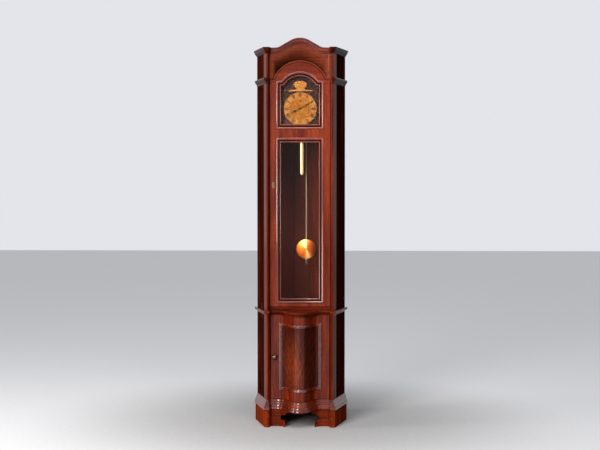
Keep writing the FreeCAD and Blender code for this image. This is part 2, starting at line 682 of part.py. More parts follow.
def make_tall_door():
    near, far = front_setback, front_setback + door_thickness
    back_of = far + overrun
    stile_top = door_shoulder
    left = block(-door_half_width, -frame_opening_half, near, far, door_bottom, stile_top)
    right = block(frame_opening_half, door_half_width, near, far, door_bottom, stile_top)
    tall_pin = pivot(door_half_width, door_shoulder)
    low_pin = pivot(door_half_width, door_bottom)
    right = right.cut(tall_pin).cut(low_pin)
    bottom_rail = block(-frame_opening_half, frame_opening_half, near, far, door_bottom,
                        trunk_window_low - rebate)
    middle_rail = block(-frame_opening_half, frame_opening_half, near, far, trunk_window_high + rebate,
                        dial_window_low - rebate)
    head_joint = window_shoulder + rebate
    left = left.common(block(-door_half_width, 0, near, far, door_bottom, head_joint))
    right = right.common(block(0, door_half_width, near, far, door_bottom, head_joint))

    # The head: a board with an arched top on shoulders, and the arched window's top cut out of it
    arch_half = math.sqrt(door_arch_radius ** 2 - (door_shoulder - door_arch_centre) ** 2)
    edges = [
        Part.makeLine(vec(door_half_width, near, head_joint), vec(-door_half_width, near, head_joint)),
        Part.makeLine(vec(-door_half_width, near, head_joint), vec(-door_half_width, near, door_shoulder)),
        Part.makeLine(vec(-door_half_width, near, door_shoulder), vec(-arch_half, near, door_shoulder)),
        Part.Arc(vec(-arch_half, near, door_shoulder), vec(0, near, door_arch_centre + door_arch_radius),
                 vec(arch_half, near, door_shoulder)).toShape(),
        Part.makeLine(vec(arch_half, near, door_shoulder), vec(door_half_width, near, door_shoulder)),
        Part.makeLine(vec(door_half_width, near, door_shoulder), vec(door_half_width, near, head_joint)),
    ]
    head = Part.Face(Part.Wire(edges)).extrude(vec(0, door_thickness, 0))
    cut = Part.Face(window_loop(rebate, near - overrun, dial_window_low, True))
    cut = cut.extrude(vec(0, door_thickness + 2 * overrun, 0))
    put("door_head", head.cut(cut).cut(tall_pin))

    # The lock: a case let into the left stile from behind, a keyhole plate, and the sliding bolt
    case_x = -door_half_width + lock_backset
    keyway = rod_y(case_x, bolt_height, keyhole_radius, near - overrun, far)
    case_box = block(-door_half_width, case_x + lock_half, bolt_y - lock_half_depth, back_of,
                     bolt_height - lock_half_height, bolt_height + lock_half_height)
    left = left.cut(case_box).cut(keyway)
    put("door_frame", left, right, bottom_rail, middle_rail, tall_pin, low_pin)
    lock_case = block(-door_half_width, case_x + lock_half, bolt_y - lock_half_depth, far,
                      bolt_height - lock_half_height, bolt_height + lock_half_height)
    half_thick = bolt_thickness / 2 + pivot_clearance
    half_high = bolt_half_height + pivot_clearance
    channel = block(-door_half_width - overrun, case_x - keyhole_radius, bolt_y - half_thick,
                    bolt_y + half_thick, bolt_height - half_high, bolt_height + half_high)
    lock_case = lock_case.cut(channel).cut(keyway)
    plate_near = near - escutcheon_thickness
    ends = [rod_y(case_x, bolt_height + side * escutcheon_half_straight, escutcheon_radius, plate_near, near)
            for side in (-1, 1)]
    middle = block(case_x - escutcheon_radius, case_x + escutcheon_radius, plate_near, near,
                   bolt_height - escutcheon_half_straight, bolt_height + escutcheon_half_straight)
    put("door_lock", lock_case, fused(middle, *ends).cut(keyway))
    put("lock_bolt", block(-door_half_width + pivot_clearance, case_x - keyhole_radius - bolt_travel,
                           bolt_y - bolt_thickness / 2, bolt_y + bolt_thickness / 2,
                           bolt_height - bolt_half_height, bolt_height + bolt_half_height))

    put("dial_window_moulding", window_moulding(dial_window_low, True))
    put("trunk_window_moulding", window_moulding(trunk_window_low, False, trunk_window_high))
    put("dial_glass", window_pane(dial_window_low, True))
    put("trunk_glass", window_pane(trunk_window_low, False, trunk_window_high))


lock_backset = 17.0
lock_half = 12.0
lock_half_depth = 6.0
lock_half_height = 22.0
keyhole_radius = 2.5
escutcheon_radius = 6.5
escutcheon_half_straight = 10.0
escutcheon_thickness = 1.2
bolt_travel = 5.0


# Base door

base_board = 20.0
panel_half_open = 100.0
door_low_rail = 58.0
door_top_rail = 52.5
panel_open_low = base_door_low + door_low_rail
panel_open_high = base_door_high - door_top_rail
# Members of the bead round the panel: front and back face as offsets of the bowed front, and how far
# each reaches inwards and outwards from the opening's edge
bead_members = [(-2.4, -5.0, -6.0, 0.0), (-0.8, -2.4, -4.0, 0.0), (0.0, -0.8, -2.0, 0.0),
                (1.4, 0.0, -2.0, 12.0), (3.0, 1.4, 0.5, 10.5), (4.2, 3.0, 3.0, 8.5)]
panel_set_back = 5.0
base_panel_thickness = 8.0
knob_x = -132.0
knob_z = (base_door_low + base_door_high) / 2
knob_radius = 14.5
knob_stand = 22.0
# Shares of the knob's radius and of how far it stands out, from its front to its rose
knob_shares = [(0.0, 0.0), (0.6, 0.06), (1.0, 0.3), (0.8, 0.5), (0.42, 0.62), (0.42, 0.85), (0.84, 0.9)]
spindle_radius = 4.0
catch_length = 26.0
catch_width = 10.0
catch_thickness = 3.0


def bowed_window(outer, inner, grow):
    """Part of a serpentine strip inside the door's opening, made larger by grow on every side."""
    half = panel_half_open + grow
    low, high = panel_open_low - grow, panel_open_high + grow
    strip = bowed_strip(outer, inner, base_door_half, low, high)
    reach = bow_depth + front_setback + door_thickness
    return strip.common(block(-half, half, -reach, reach, low, high))


def make_base_door():
    board = bowed_strip(0, -base_board, base_door_half, base_door_low, base_door_high)
    opening = bowed_window(overrun, -base_board - overrun, 0)
    board = board.cut(opening)
    pins = [pivot(base_door_half, base_door_low), pivot(base_door_half, base_door_high)]
    for pin in pins:
        board = board.cut(pin)
    hole = rod_y(knob_x, knob_z, spindle_radius + pivot_clearance, 0, front_setback + 2 * base_board)
    board = board.cut(hole)
    put("base_door_board", board, *pins)

    members = []
    for front, back, inwards, outwards in bead_members:
        inside = bowed_window(front + overrun, back - overrun, inwards)
        members.append(bowed_window(front, back, outwards).cut(inside))
    put("base_door_bead", fused(members[0], *members[1:]))
    put("base_door_panel", bowed_window(-panel_set_back, -panel_set_back - base_panel_thickness, 0))

    near = front_setback - knob_stand
    foot = front_setback - seat_gap
    profile = [vec(knob_radius * across, near + knob_stand * along, 0) for across, along in knob_shares]
    profile += [vec(profile[-1].x, foot, 0), vec(0, foot, 0)]
    face = polygon_face(profile)
    knob = face.revolve(vec(0, 0, 0), vec(0, 1, 0), 360)
    knob.translate(vec(knob_x, 0, knob_z))
    back = cant_point(post_depth, side_thickness)[1] + 2 * seat_gap
    spindle = rod_y(knob_x, knob_z, spindle_radius, front_setback - overrun, back + catch_thickness)
    catch = block(knob_x - catch_width / 2, knob_x + catch_width / 2, back, back + catch_thickness,
                  knob_z - catch_width / 2, knob_z + catch_length)
    put("turn_knob", fused(knob, spindle, catch))


# Movement

barrel_offset = (0.0, 40.0)
third_offset = (33.6, 17.8)
escape_offset = (40.0, 50.0)
anchor_offset = (28.7, 71.2)
plate_left = -46.0
plate_right = 66.0
plate_low = -60.0
plate_high = 88.0
pillar_inset = 8.0
pillar_radius = 4.0
great_teeth = 96
centre_pinion_teeth = 8
centre_teeth = 80
third_pinion_teeth = 8
third_teeth = 60
escape_pinion_teeth = 9
escape_teeth = 30
escape_radius = 17.0
escape_depth = 4.0
barrel_radius = 16.0
barrel_arbor_radius = 3.5
flange_radius = 20.5
flange_thickness = 1.5
square_half = 2.2
wheel_thickness = 2.0
pinion_length = 6.0
barrel_near = 112.0
barrel_far = 136.0
great_wheel_y = 139.0
centre_wheel_y = 104.0
third_wheel_y = 145.0
escape_wheel_y = 124.0
tooth_depth_share = 2.0          # of a wheel's module
gap_share = 0.36                 # of a tooth's pitch, at the root
pinion_gap_share = 0.45
pinion_depth_share = 0.35        # of its tip radius
hand_pinion_depth_share = 0.3
hub_share = 0.26                 # of the inside of a wheel's rim
spoke_share = 0.09
wheel_spokes = 5
escape_spokes = 4
cable_radius = 0.8
plate_back = plate_front + plate_thickness + plate_gap


def at(offset):
    """Front-view place of an arbor, from its offset to the hands' axis."""
    return offset[0], hands_height + offset[1]


def gear(x, z, teeth, tip_radius, depth, near, thickness, root_gap, bore=0.0, spokes=0):
    """A wheel with pointed teeth, and openings between its spokes."""
    points = []
    pitch = 2 * math.pi / teeth
    root = tip_radius - depth
    for i in range(teeth):
        start = i * pitch
        points.append((root * math.cos(start), root * math.sin(start)))
        end = start + pitch * root_gap
        points.append((root * math.cos(end), root * math.sin(end)))
        middle = start + pitch * (1 + root_gap) / 2
        points.append((tip_radius * math.cos(middle), tip_radius * math.sin(middle)))
    face = polygon_face([vec(x + px, near, z + pz) for px, pz in points])
    wheel = face.extrude(vec(0, thickness, 0))
    if spokes:
        rim = root - 2 * depth
        hub = max(rim * hub_share, 2 * depth)
        for i in range(spokes):
            wheel = wheel.cut(spoke_window(x, z, hub, rim, i, spokes, near, thickness))
    if bore:
        wheel = wheel.cut(rod_y(x, z, bore, near - overrun, near + thickness + overrun))
    return wheel


def spoke_window(x, z, hub, rim, index, spokes, near, thickness):
    """One opening between two spokes of a wheel."""
    width = rim * spoke_share
    start = 2 * math.pi * index / spokes
    end = start + 2 * math.pi / spokes

    def v(radius, angle, shift):
        turn = angle + shift * math.asin(width / radius)
        return vec(x + radius * math.cos(turn), near - overrun, z + radius * math.sin(turn))

    middle = (start + end) / 2
    outer_mid = vec(x + rim * math.cos(middle), near - overrun, z + rim * math.sin(middle))
    inner_mid = vec(x + hub * math.cos(middle), near - overrun, z + hub * math.sin(middle))
    a, b, c, d = v(hub, start, 1), v(rim, start, 1), v(rim, end, -1), v(hub, end, -1)
    edges = [Part.makeLine(a, b), Part.Arc(b, outer_mid, c).toShape(), Part.makeLine(c, d),
             Part.Arc(d, inner_mid, a).toShape()]
    return Part.Face(Part.Wire(edges)).extrude(vec(0, thickness + 2 * overrun, 0))


def pitch_radii(first, second, wheel_teeth, pinion_teeth):
    """Tip radii of a wheel and pinion whose arbors stand at the two offsets."""
    distance = math.hypot(first[0] - second[0], first[1] - second[1])
    wheel = distance * wheel_teeth / (wheel_teeth + pinion_teeth)
    return wheel, distance - wheel - mesh_gap


def arbor(offset, radius, start, end):
    """A shaft with a pivot at each end that runs in the plates."""
    x, z = at(offset)
    return rod_y(x, z, radius, start, end)


def make_plates():
    outline = [(plate_left, hands_height + plate_low), (plate_right, hands_height + plate_low),
               (plate_right, hands_height + plate_high), (plate_left, hands_height + plate_high)]
    holes = [(barrel_offset, barrel_arbor_radius), ((0.0, 0.0), centre_arbor_radius),
             (third_offset, arbor_radius), (escape_offset, arbor_radius), (anchor_offset, arbor_radius)]
    front = front_prism(outline, plate_front, plate_front + plate_thickness)
    back = front_prism(outline, plate_back, plate_back + plate_thickness)
    for offset, radius in holes:
        x, z = at(offset)
        hole = rod_y(x, z, radius + pivot_clearance, plate_front - overrun,
                     plate_back + plate_thickness + overrun)
        front = front.cut(hole)
        back = back.cut(hole)
    put("movement_plates", front, back)
    pillars = []
    for px in (plate_left + pillar_inset, plate_right - pillar_inset):
        for pz in (plate_low + pillar_inset, plate_high - pillar_inset):
            pillars.append(rod_y(px, hands_height + pz, pillar_radius, plate_front + plate_thickness,
                                 plate_back))
    put("plate_pillars", *pillars)


centre_arbor_radius = 2.0


def make_train():
    x, z = at(barrel_offset)
    great, centre_leaf = pitch_radii(barrel_offset, (0.0, 0.0), great_teeth, centre_pinion_teeth)
    depth = tooth_depth_share * great * 2 / great_teeth
    core = rod_y(x, z, barrel_radius, barrel_near, barrel_far)
    flanges = [rod_y(x, z, flange_radius, y, y + flange_thickness)
               for y in (barrel_near - flange_thickness, barrel_far)]
    shaft = arbor(barrel_offset, barrel_arbor_radius, plate_front, plate_back + plate_thickness)
    square = block(x - square_half, x + square_half, dial_front + plate_thickness, plate_front,
                   z - square_half, z + square_half)
    wheel = gear(x, z, great_teeth, great, depth, great_wheel_y, wheel_thickness, gap_share,
                 spokes=wheel_spokes)
    spacer = rod_y(x, z, 2 * barrel_arbor_radius, barrel_far, great_wheel_y)
    put("winding_barrel", fused(core, *flanges, shaft, square, wheel, spacer))

    wheel_r, third_leaf = pitch_radii((0.0, 0.0), third_offset, centre_teeth, third_pinion_teeth)
    depth = tooth_depth_share * wheel_r * 2 / centre_teeth
    cx, cz = at((0.0, 0.0))
    wheel = gear(cx, cz, centre_teeth, wheel_r, depth, centre_wheel_y, wheel_thickness, gap_share,
                 spokes=wheel_spokes)
    leaf = gear(cx, cz, centre_pinion_teeth, centre_leaf, centre_leaf * pinion_depth_share,
                great_wheel_y - wheel_thickness, pinion_length, pinion_gap_share)
    shaft = arbor((0.0, 0.0), centre_arbor_radius, minute_hand_y - overrun, plate_back + plate_thickness)
    put("centre_wheel", fused(wheel, leaf, shaft))

    wheel_r, escape_leaf = pitch_radii(third_offset, escape_offset, third_teeth, escape_pinion_teeth)
    depth = tooth_depth_share * wheel_r * 2 / third_teeth
    tx, tz = at(third_offset)
    wheel = gear(tx, tz, third_teeth, wheel_r, depth, third_wheel_y, wheel_thickness, gap_share,
                 spokes=wheel_spokes)
    leaf = gear(tx, tz, third_pinion_teeth, third_leaf, third_leaf * pinion_depth_share,
                centre_wheel_y - wheel_thickness, pinion_length, pinion_gap_share)
    shaft = arbor(third_offset, arbor_radius, plate_front, plate_back + plate_thickness)
    put("third_wheel", fused(wheel, leaf, shaft))

    ex, ez = at(escape_offset)
    wheel = gear(ex, ez, escape_teeth, escape_radius, escape_depth, escape_wheel_y, wheel_thickness / 2,
                 1 - gap_share, spokes=escape_spokes)
    leaf = gear(ex, ez, escape_pinion_teeth, escape_leaf, escape_leaf * pinion_depth_share,
                third_wheel_y - wheel_thickness, pinion_length, pinion_gap_share)
    shaft = arbor(escape_offset, arbor_radius, plate_front, plate_back + plate_thickness)
    put("escape_wheel", fused(wheel, leaf, shaft))


anchor_thickness = 4.0
anchor_arm = 3.2
anchor_clear = 1.3
pallet_angle = math.radians(46.0)
pallet_lean = 0.5                # radians between a pallet's tip and the root of its arm
crutch_length = 62.0
crutch_width = 5.0
crutch_thickness = 2.0
fork_pin_radius = 1.0
rod_radius = 2.5


def make_anchor():
    ex, ez = at(escape_offset)
    ax, az = at(anchor_offset)
    toward = math.atan2(az - ez, ax - ex)
    reach = escape_radius + anchor_clear
    near = escape_wheel_y + wheel_thickness / 4 - anchor_thickness / 2
    arms = []
    for side in (-1, 1):
        angle = toward + side * pallet_angle
        tip = (ex + reach * math.cos(angle), ez + reach * math.sin(angle))
        lean = angle - side * pallet_lean
        inner, outer = reach + anchor_arm, reach + 2 * anchor_arm
        heel = (ex + inner * math.cos(angle), ez + inner * math.sin(angle))
        shoulder = (ex + outer * math.cos(lean), ez + outer * math.sin(lean))
        root = (ex + inner * math.cos(lean), ez + inner * math.sin(lean))
        half_arm = anchor_arm / 2
        hub_in = (ax - half_arm * math.cos(toward), az - half_arm * math.sin(toward))
        hub_out = (ax + half_arm * math.cos(toward), az + half_arm * math.sin(toward))
        outline = [tip, root, hub_in, hub_out, shoulder, heel]
        arms.append(front_prism(outline, near, near + anchor_thickness))
    hub = rod_y(ax, az, anchor_arm, near, near + anchor_thickness)
    crutch_y = plate_back + plate_thickness + crutch_gap
    shaft = arbor(anchor_offset, arbor_radius, plate_front, crutch_y + crutch_thickness)
    crutch = block(ax - crutch_width / 2, ax + crutch_width / 2, crutch_y, crutch_y + crutch_thickness,
                   az - crutch_length, az + crutch_width / 2)
    spread = rod_radius + fork_pin_radius + 2 * pivot_clearance
    half_foot = spread + fork_pin_radius
    foot = block(ax - half_foot, ax + half_foot, crutch_y, crutch_y + crutch_thickness,
                 az - crutch_length - crutch_width, az - crutch_length)
    pins = [rod_y(ax + side * spread, az - crutch_length - crutch_width / 2, fork_pin_radius,
                  crutch_y, pendulum_plane + rod_radius + fork_pin_radius) for side in (-1, 1)]
    put("anchor_crutch", fused(arms[0], arms[1], hub, shaft, crutch, foot, *pins))


crutch_gap = 3.0

# Pendulum

bob_radius = 51.0
bob_thickness = 22.0
bob_edge = 3.0
bob_share = 0.3075               # of the height of the trunk window
bob_height = trunk_window_low + bob_share * trunk_window_height
spring_half_width = 5.0
spring_thickness = 0.6
spring_length = 18.0
rod_end = 30.0                   # the rod runs this far below the bob
nut_radius = 6.0
nut_height = 7.0
cock_width = 16.0
cock_height = 14.0
cock_rise = 4.0                  # from the pendulum's turning point to the underside of the cock


def make_pendulum():
    px, pz = at(anchor_offset)
    rod_top = pz - spring_length
    rod_low = bob_height - bob_radius - rod_end
    rod = rod_z(px, pendulum_plane, rod_radius, rod_low, rod_top)
    spring = block(px - spring_thickness / 2, px + spring_thickness / 2, pendulum_plane - spring_half_width,
                   pendulum_plane + spring_half_width, rod_top - overrun, pz + cock_rise - seat_gap)
    nut = rod_z(px, pendulum_plane, nut_radius, bob_height - bob_radius - nut_height - seat_gap,
                bob_height - bob_radius - seat_gap)
    put("pendulum_rod", fused(rod, spring, nut))

    half = bob_thickness / 2
    sphere_r = (bob_radius ** 2 + (half - bob_edge / 2) ** 2) / (2 * (half - bob_edge / 2))
    rise = half
    edge = bob_edge / 2
    arc_mid_r = bob_radius / 2
    arc_mid_y = rise - sphere_r + math.sqrt(sphere_r ** 2 - arc_mid_r ** 2)
    edges = [
        Part.makeLine(vec(0, rise, 0), vec(0, -rise, 0)),
        Part.Arc(vec(0, -rise, 0), vec(arc_mid_r, -arc_mid_y, 0), vec(bob_radius, -edge, 0)).toShape(),
        Part.makeLine(vec(bob_radius, -edge, 0), vec(bob_radius, edge, 0)),
        Part.Arc(vec(bob_radius, edge, 0), vec(arc_mid_r, arc_mid_y, 0), vec(0, rise, 0)).toShape(),
    ]
    bob = Part.Face(Part.Wire(edges)).revolve(vec(0, 0, 0), vec(0, 1, 0), 360)
    bob.translate(vec(px, pendulum_plane, bob_height))
    channel = rod_z(px, pendulum_plane, rod_radius + pivot_clearance, bob_height - 2 * bob_radius,
                    bob_height + 2 * bob_radius)
    put("pendulum_bob", bob.cut(channel))

    cock_low = pz + cock_rise
    base = block(px - cock_width / 2, px + cock_width / 2, plate_back + plate_thickness,
                 pendulum_plane + spring_half_width + overrun, cock_low, cock_low + cock_height / 2)
    foot = block(px - cock_width / 2, px + cock_width / 2, plate_back + plate_thickness,
                 plate_back + 2 * plate_thickness, cock_low, cock_low + cock_height)
    put("suspension_cock", fused(base, foot))


# Dial and hands

dial_half_width = 104.0
dial_below_hands = 100.0
dial_shoulder_rise = 57.0
dial_low = hands_height - dial_below_hands
dial_shoulder = dial_arch_centre + dial_shoulder_rise
dial_top_radius = 108.0
dial_thickness = 2.0
ring_outer = 85.0
ring_inner = 56.0
ring_thickness = 1.5
centre_disc_thickness = 0.8
# Cartouche in the arch, as shares of its height: half its width, and height above its underside
cartouche_height = 54.0
cartouche_above_hands = 89.0     # underside of the ledge
cartouche_thickness = 3.0
cartouche_shares = [(0.0, 0.0), (1.17, 0.0), (1.15, 0.08), (0.86, 0.14), (0.5, 0.17), (0.37, 0.23),
                    (0.36, 0.31), (0.47, 0.38), (0.59, 0.48), (0.64, 0.62), (0.6, 0.76), (0.5, 0.87),
                    (0.33, 0.95), (0.16, 0.99), (0.0, 1.0)]
shell_shares = [(0.0, 0.33), (0.22, 0.36), (0.38, 0.46), (0.49, 0.62), (0.42, 0.78), (0.24, 0.88),
                (0.0, 0.91)]
shell_thickness = 2.0
hour_hand_y = 66.5
minute_hand_y = 63.5
hand_thickness = 1.0
minute_length = 76.0
hour_length = 52.0
minute_angle = math.radians(59.5)    # clockwise from twelve
hour_angle = math.radians(244.0)
hour_pipe_radius = 4.0
cannon_radius = 3.2
hand_boss_radius = 6.0
cannon_teeth = 12
minute_wheel_teeth = 36
minute_pinion_teeth = 10
hour_teeth = 40
minute_wheel_offset = (-12.0, -12.0)
minute_wheel_y = 91.0
hour_wheel_y = 85.0
hole_clear = 1.0
dial_foot_radius = 3.0
dial_foot_inset_share = 0.8


def dial_outline(y):
    half = dial_half_width
    rise = dial_shoulder - dial_arch_centre
    chord = math.sqrt(dial_top_radius ** 2 - rise ** 2)
    points = [vec(-half, y, dial_low), vec(-half, y, dial_shoulder), vec(-chord, y, dial_shoulder)]
    after = [vec(chord, y, dial_shoulder), vec(half, y, dial_shoulder), vec(half, y, dial_low)]
    edges = [Part.makeLine(a, b) for a, b in zip(points, points[1:])]
    edges.append(Part.Arc(points[-1], vec(0, y, dial_arch_centre + dial_top_radius), after[0]).toShape())
    edges += [Part.makeLine(a, b) for a, b in zip(after, after[1:])]
    edges.append(Part.makeLine(after[-1], points[0]))
    return Part.Wire(edges)


def spandrel(side, up):
    """A corner ornament: a three-leaved casting that fills a corner of the dial."""
    cx = side * (dial_half_width - spandrel_margin)
    cz = hands_height + up * (ring_outer + spandrel_rise)
    near = dial_front - spandrel_thickness
    reach = spandrel_size
    points = [(0, 0), (-1.0, 0.0), (-0.62, -0.16), (-0.55, -0.34), (-0.3, -0.3), (-0.26, -0.58),
              (-0.12, -0.62), (0.0, -1.0)]
    outline = [(cx + side * px * reach, cz + up * pz * reach) for px, pz in points]
    return front_prism(outline, near, dial_front)


spandrel_margin = 8.0
spandrel_rise = 4.0
spandrel_size = 38.0
spandrel_thickness = 1.5


def cartouche(shares):
    """Outline of the ornament in the arch, the same on both sides of the middle."""
    foot = hands_height + cartouche_above_hands
    right = [(x * cartouche_height, foot + z * cartouche_height) for x, z in shares]
    return right + [(-x, z) for x, z in right[-2:0:-1]]


def make_dial():
    plate = Part.Face(dial_outline(dial_front)).extrude(vec(0, dial_thickness, 0))
    bx, bz = at(barrel_offset)
    plate = plate.cut(rod_y(0, hands_height, hour_pipe_radius + hole_clear, dial_front - overrun,
                            dial_front + dial_thickness + overrun))
    key_hole = rod_y(bx, bz, 2 * square_half, dial_front - overrun, dial_front + dial_thickness + overrun)
    plate = plate.cut(key_hole)
    feet = []
    for fx in (plate_left, plate_right):
        for fz in (plate_low, plate_high):
            feet.append(rod_y(fx * dial_foot_inset_share, hands_height + fz * dial_foot_inset_share,
                              dial_foot_radius, dial_front + dial_thickness, plate_front))
    put("dial_plate", fused(plate, *feet))
    ring = rod_y(0, hands_height, ring_outer, dial_front - ring_thickness, dial_front)
    ring = ring.cut(rod_y(0, hands_height, ring_inner, dial_front - overrun, dial_front + overrun))
    put("chapter_ring", ring)
    put("spandrels", *[spandrel(side, up) for side in (-1, 1) for up in (-1, 1)])
    bore = hour_pipe_radius + hole_clear
    disc = rod_y(0, hands_height, ring_inner - seat_gap, dial_front - centre_disc_thickness, dial_front)
    disc = disc.cut(rod_y(0, hands_height, bore, dial_front - overrun, dial_front + overrun))
    put("dial_centre", disc.cut(key_hole))
    near = dial_front - cartouche_thickness
    body = front_prism(cartouche(cartouche_shares), near, dial_front)
    shell = front_prism(cartouche(shell_shares), near - shell_thickness, near)
    put("arch_cartouche", fused(body, shell))


def hand(angle, length, near, shape_points, pipe_radius, bore):
    """A flat hand on its pipe, drawn upright and turned to its hour."""
    outline = [(px * length, pz * length) for px, pz in shape_points]
    outline += [(-px, pz) for px, pz in outline[::-1] if px > 0]
    blade = polygon_face([vec(px, near, pz) for px, pz in outline]).extrude(vec(0, hand_thickness, 0))
    ring = Part.makeCylinder(hand_boss_radius, hand_thickness, vec(0, near, 0), vec(0, 1, 0))
    blade = blade.fuse(ring)
    blade = blade.cut(Part.makeCylinder(bore, 2 * overrun, vec(0, near - overrun, 0), vec(0, 1, 0)))
    blade.rotate(vec(0, 0, 0), vec(0, 1, 0), math.degrees(angle))
    blade.translate(vec(0, 0, hands_height))
    return blade


minute_points_shares = [(0.018, 0.0), (0.018, 0.42), (0.06, 0.5), (0.018, 0.58), (0.045, 0.66), (0.012, 0.78),
                        (0.0, 1.0)]
hour_points_shares = [(0.026, 0.0), (0.026, 0.38), (0.11, 0.5), (0.13, 0.62), (0.05, 0.7), (0.03, 0.84),
                      (0.0, 1.0)]


def make_hands():
    mx, mz = at(minute_wheel_offset)
    axis = (0.0, 0.0)
    wheel_tip, cannon_tip = pitch_radii(minute_wheel_offset, axis, minute_wheel_teeth, cannon_teeth)
    hour_tip, leaf_tip = pitch_radii(axis, minute_wheel_offset, hour_teeth, minute_pinion_teeth)
    depth = tooth_depth_share * wheel_tip * 2 / minute_wheel_teeth
    bore = centre_arbor_radius + pivot_clearance

    blade = hand(minute_angle, minute_length, minute_hand_y, minute_points_shares, cannon_radius, bore)
    cannon = gear(0, hands_height, cannon_teeth, cannon_tip, cannon_tip * hand_pinion_depth_share,
                  minute_wheel_y - hand_thickness, 2 * wheel_thickness, gap_share, bore=bore)
    pipe = rod_y(0, hands_height, cannon_radius, minute_hand_y, minute_wheel_y)
    pipe = pipe.cut(rod_y(0, hands_height, bore, minute_hand_y - overrun, minute_wheel_y + overrun))
    put("minute_hand", fused(blade, pipe, cannon))

    pipe_bore = cannon_radius + pivot_clearance
    blade = hand(hour_angle, hour_length, hour_hand_y, hour_points_shares, hour_pipe_radius, pipe_bore)
    wheel = gear(0, hands_height, hour_teeth, hour_tip, depth, hour_wheel_y, wheel_thickness, gap_share,
                 bore=pipe_bore)
    pipe = rod_y(0, hands_height, hour_pipe_radius, hour_hand_y, hour_wheel_y)
    pipe = pipe.cut(rod_y(0, hands_height, pipe_bore, hour_hand_y - overrun, hour_wheel_y + overrun))
    put("hour_hand", fused(blade, pipe, wheel))

    stud_reach = plate_front - seat_gap
    wheel = gear(mx, mz, minute_wheel_teeth, wheel_tip, depth, minute_wheel_y, wheel_thickness, gap_share)
    leaf = gear(mx, mz, minute_pinion_teeth, leaf_tip, leaf_tip * hand_pinion_depth_share,
                hour_wheel_y - hand_thickness, minute_wheel_y - hour_wheel_y + hand_thickness,
                pinion_gap_share)
    stud = rod_y(mx, mz, arbor_radius, minute_wheel_y, stud_reach)
    put("minute_wheel", fused(wheel, leaf, stud))


# Seat board

seat_thickness = 18.0
seat_near = 96.0
seat_far = 158.0
bearer_height = 25.0
bearer_width = 15.0
bearer_start = 66.0              # along the canted side, from stile to stile
bearer_end = 222.0
slot_half_y = 5.0
seat_top = hands_height + plate_low
seat_low = seat_top - seat_thickness


def make_seat():
    def inner_x(y):
        return meet(cant_point(0, side_thickness), cant_along, (0, y), (1, 0))[0]

    right = [(inner_x(seat_near), seat_near), (inner_x(seat_far), seat_far)]
    board = plan_prism([(-x, y) for x, y in right] + right[::-1], seat_low, seat_top)
    slot_x = pulley_radius + 4 * cable_radius
    slot = block(weight_x - slot_x, weight_x + slot_x, cable_plane - slot_half_y, cable_plane + slot_half_y,
                 seat_low - overrun, seat_top + overrun)
    outline = [cant_point(bearer_start, side_thickness), cant_point(bearer_end, side_thickness),
               cant_point(bearer_end, side_thickness + bearer_width),
               cant_point(bearer_start, side_thickness + bearer_width)]
    bearer = plan_prism(outline, seat_low - bearer_height, seat_low)
    put("seat_board", board.cut(slot), bearer, mirrored(bearer))


# Weight

weight_radius = 17.5
weight_length = 190.0
pulley_radius = 9.0
pulley_flange = 11.0
pulley_thickness = 6.0
pulley_drop = 34.0               # from the underside of the seat board
pulley_rise = 32.0               # from the top of the weight
stirrup_thickness = 2.0
stirrup_width = 12.0
weight_tip = 9.0
strand_offset = pulley_radius + seat_gap      # from the pulley's axis to the middle of a strand
weight_x = barrel_radius + cable_radius + seat_gap - strand_offset
pulley_pin_radius = 2.0


pulley_height = seat_low - pulley_drop
weight_low = pulley_height - pulley_rise - weight_length


def make_weight():
    top = weight_low + weight_length
    body = rod_z(weight_x, cable_plane, weight_radius, weight_low, top)
    cap_top = top + weight_tip / 2
    half_stirrup = stirrup_width / 2
    cap = rod_z(weight_x, cable_plane, weight_radius / 2, top, cap_top)
    tip = Part.makeCone(weight_radius / 3, weight_radius / 2, weight_tip,
                        vec(weight_x, cable_plane, weight_low - weight_tip), vec(0, 0, 1))
    inner = pulley_thickness / 2 + pivot_clearance * 4
    cheeks = []
    for side in (-1, 1):
        y0 = cable_plane + side * inner
        y1 = y0 + side * stirrup_thickness
        cheeks.append(block(weight_x - half_stirrup, weight_x + half_stirrup, min(y0, y1), max(y0, y1),
                            cap_top - stirrup_thickness, pulley_height + half_stirrup))
    bridge = block(weight_x - half_stirrup, weight_x + half_stirrup, cable_plane - inner,
                   cable_plane + inner, cap_top - stirrup_thickness, cap_top + stirrup_thickness)
    pin = rod_y(weight_x, pulley_height, pulley_pin_radius, cable_plane - inner - stirrup_thickness,
                cable_plane + inner + stirrup_thickness)
    put("weight_body", fused(body, cap, tip, bridge, cheeks[0], cheeks[1], pin))

    half = pulley_thickness / 2
    groove = pulley_radius - cable_radius
    profile = [vec(pulley_pin_radius + pivot_clearance, -half, 0), vec(pulley_flange, -half, 0),
               vec(groove, -cable_radius, 0), vec(groove, cable_radius, 0), vec(pulley_flange, half, 0),
               vec(pulley_pin_radius + pivot_clearance, half, 0)]
    pulley = polygon_face(profile).revolve(vec(0, 0, 0), vec(0, 1, 0), 360)
    pulley.translate(vec(weight_x, cable_plane, pulley_height))
    put("weight_pulley", pulley)

    left = weight_x - strand_offset
    right = weight_x + strand_offset
    put("barrel_cable", rod_z(right, cable_plane, cable_radius, seat_low, at(barrel_offset)[1]))
    strands = [rod_z(right, cable_plane, cable_radius, pulley_height, seat_low - seat_gap),
               rod_z(left, cable_plane, cable_radius, pulley_height, seat_low - seat_gap)]
    put("weight_cable", *strands)


make_plinth()
make_base_case()
make_waist()
make_trunk()
make_back()
make_frieze()
make_crown()
make_tall_door()
make_base_door()
make_plates()
make_train()
make_anchor()
make_pendulum()
make_dial()
make_hands()
make_seat()
make_weight()

# The origin stands under the middle of the case, between its front and the corner board
front_reach = bow_depth - front_setback + max(offset for rise, offset in plinth_profile)
middle_y = (back_sum - back_corner_half - front_reach) / 2

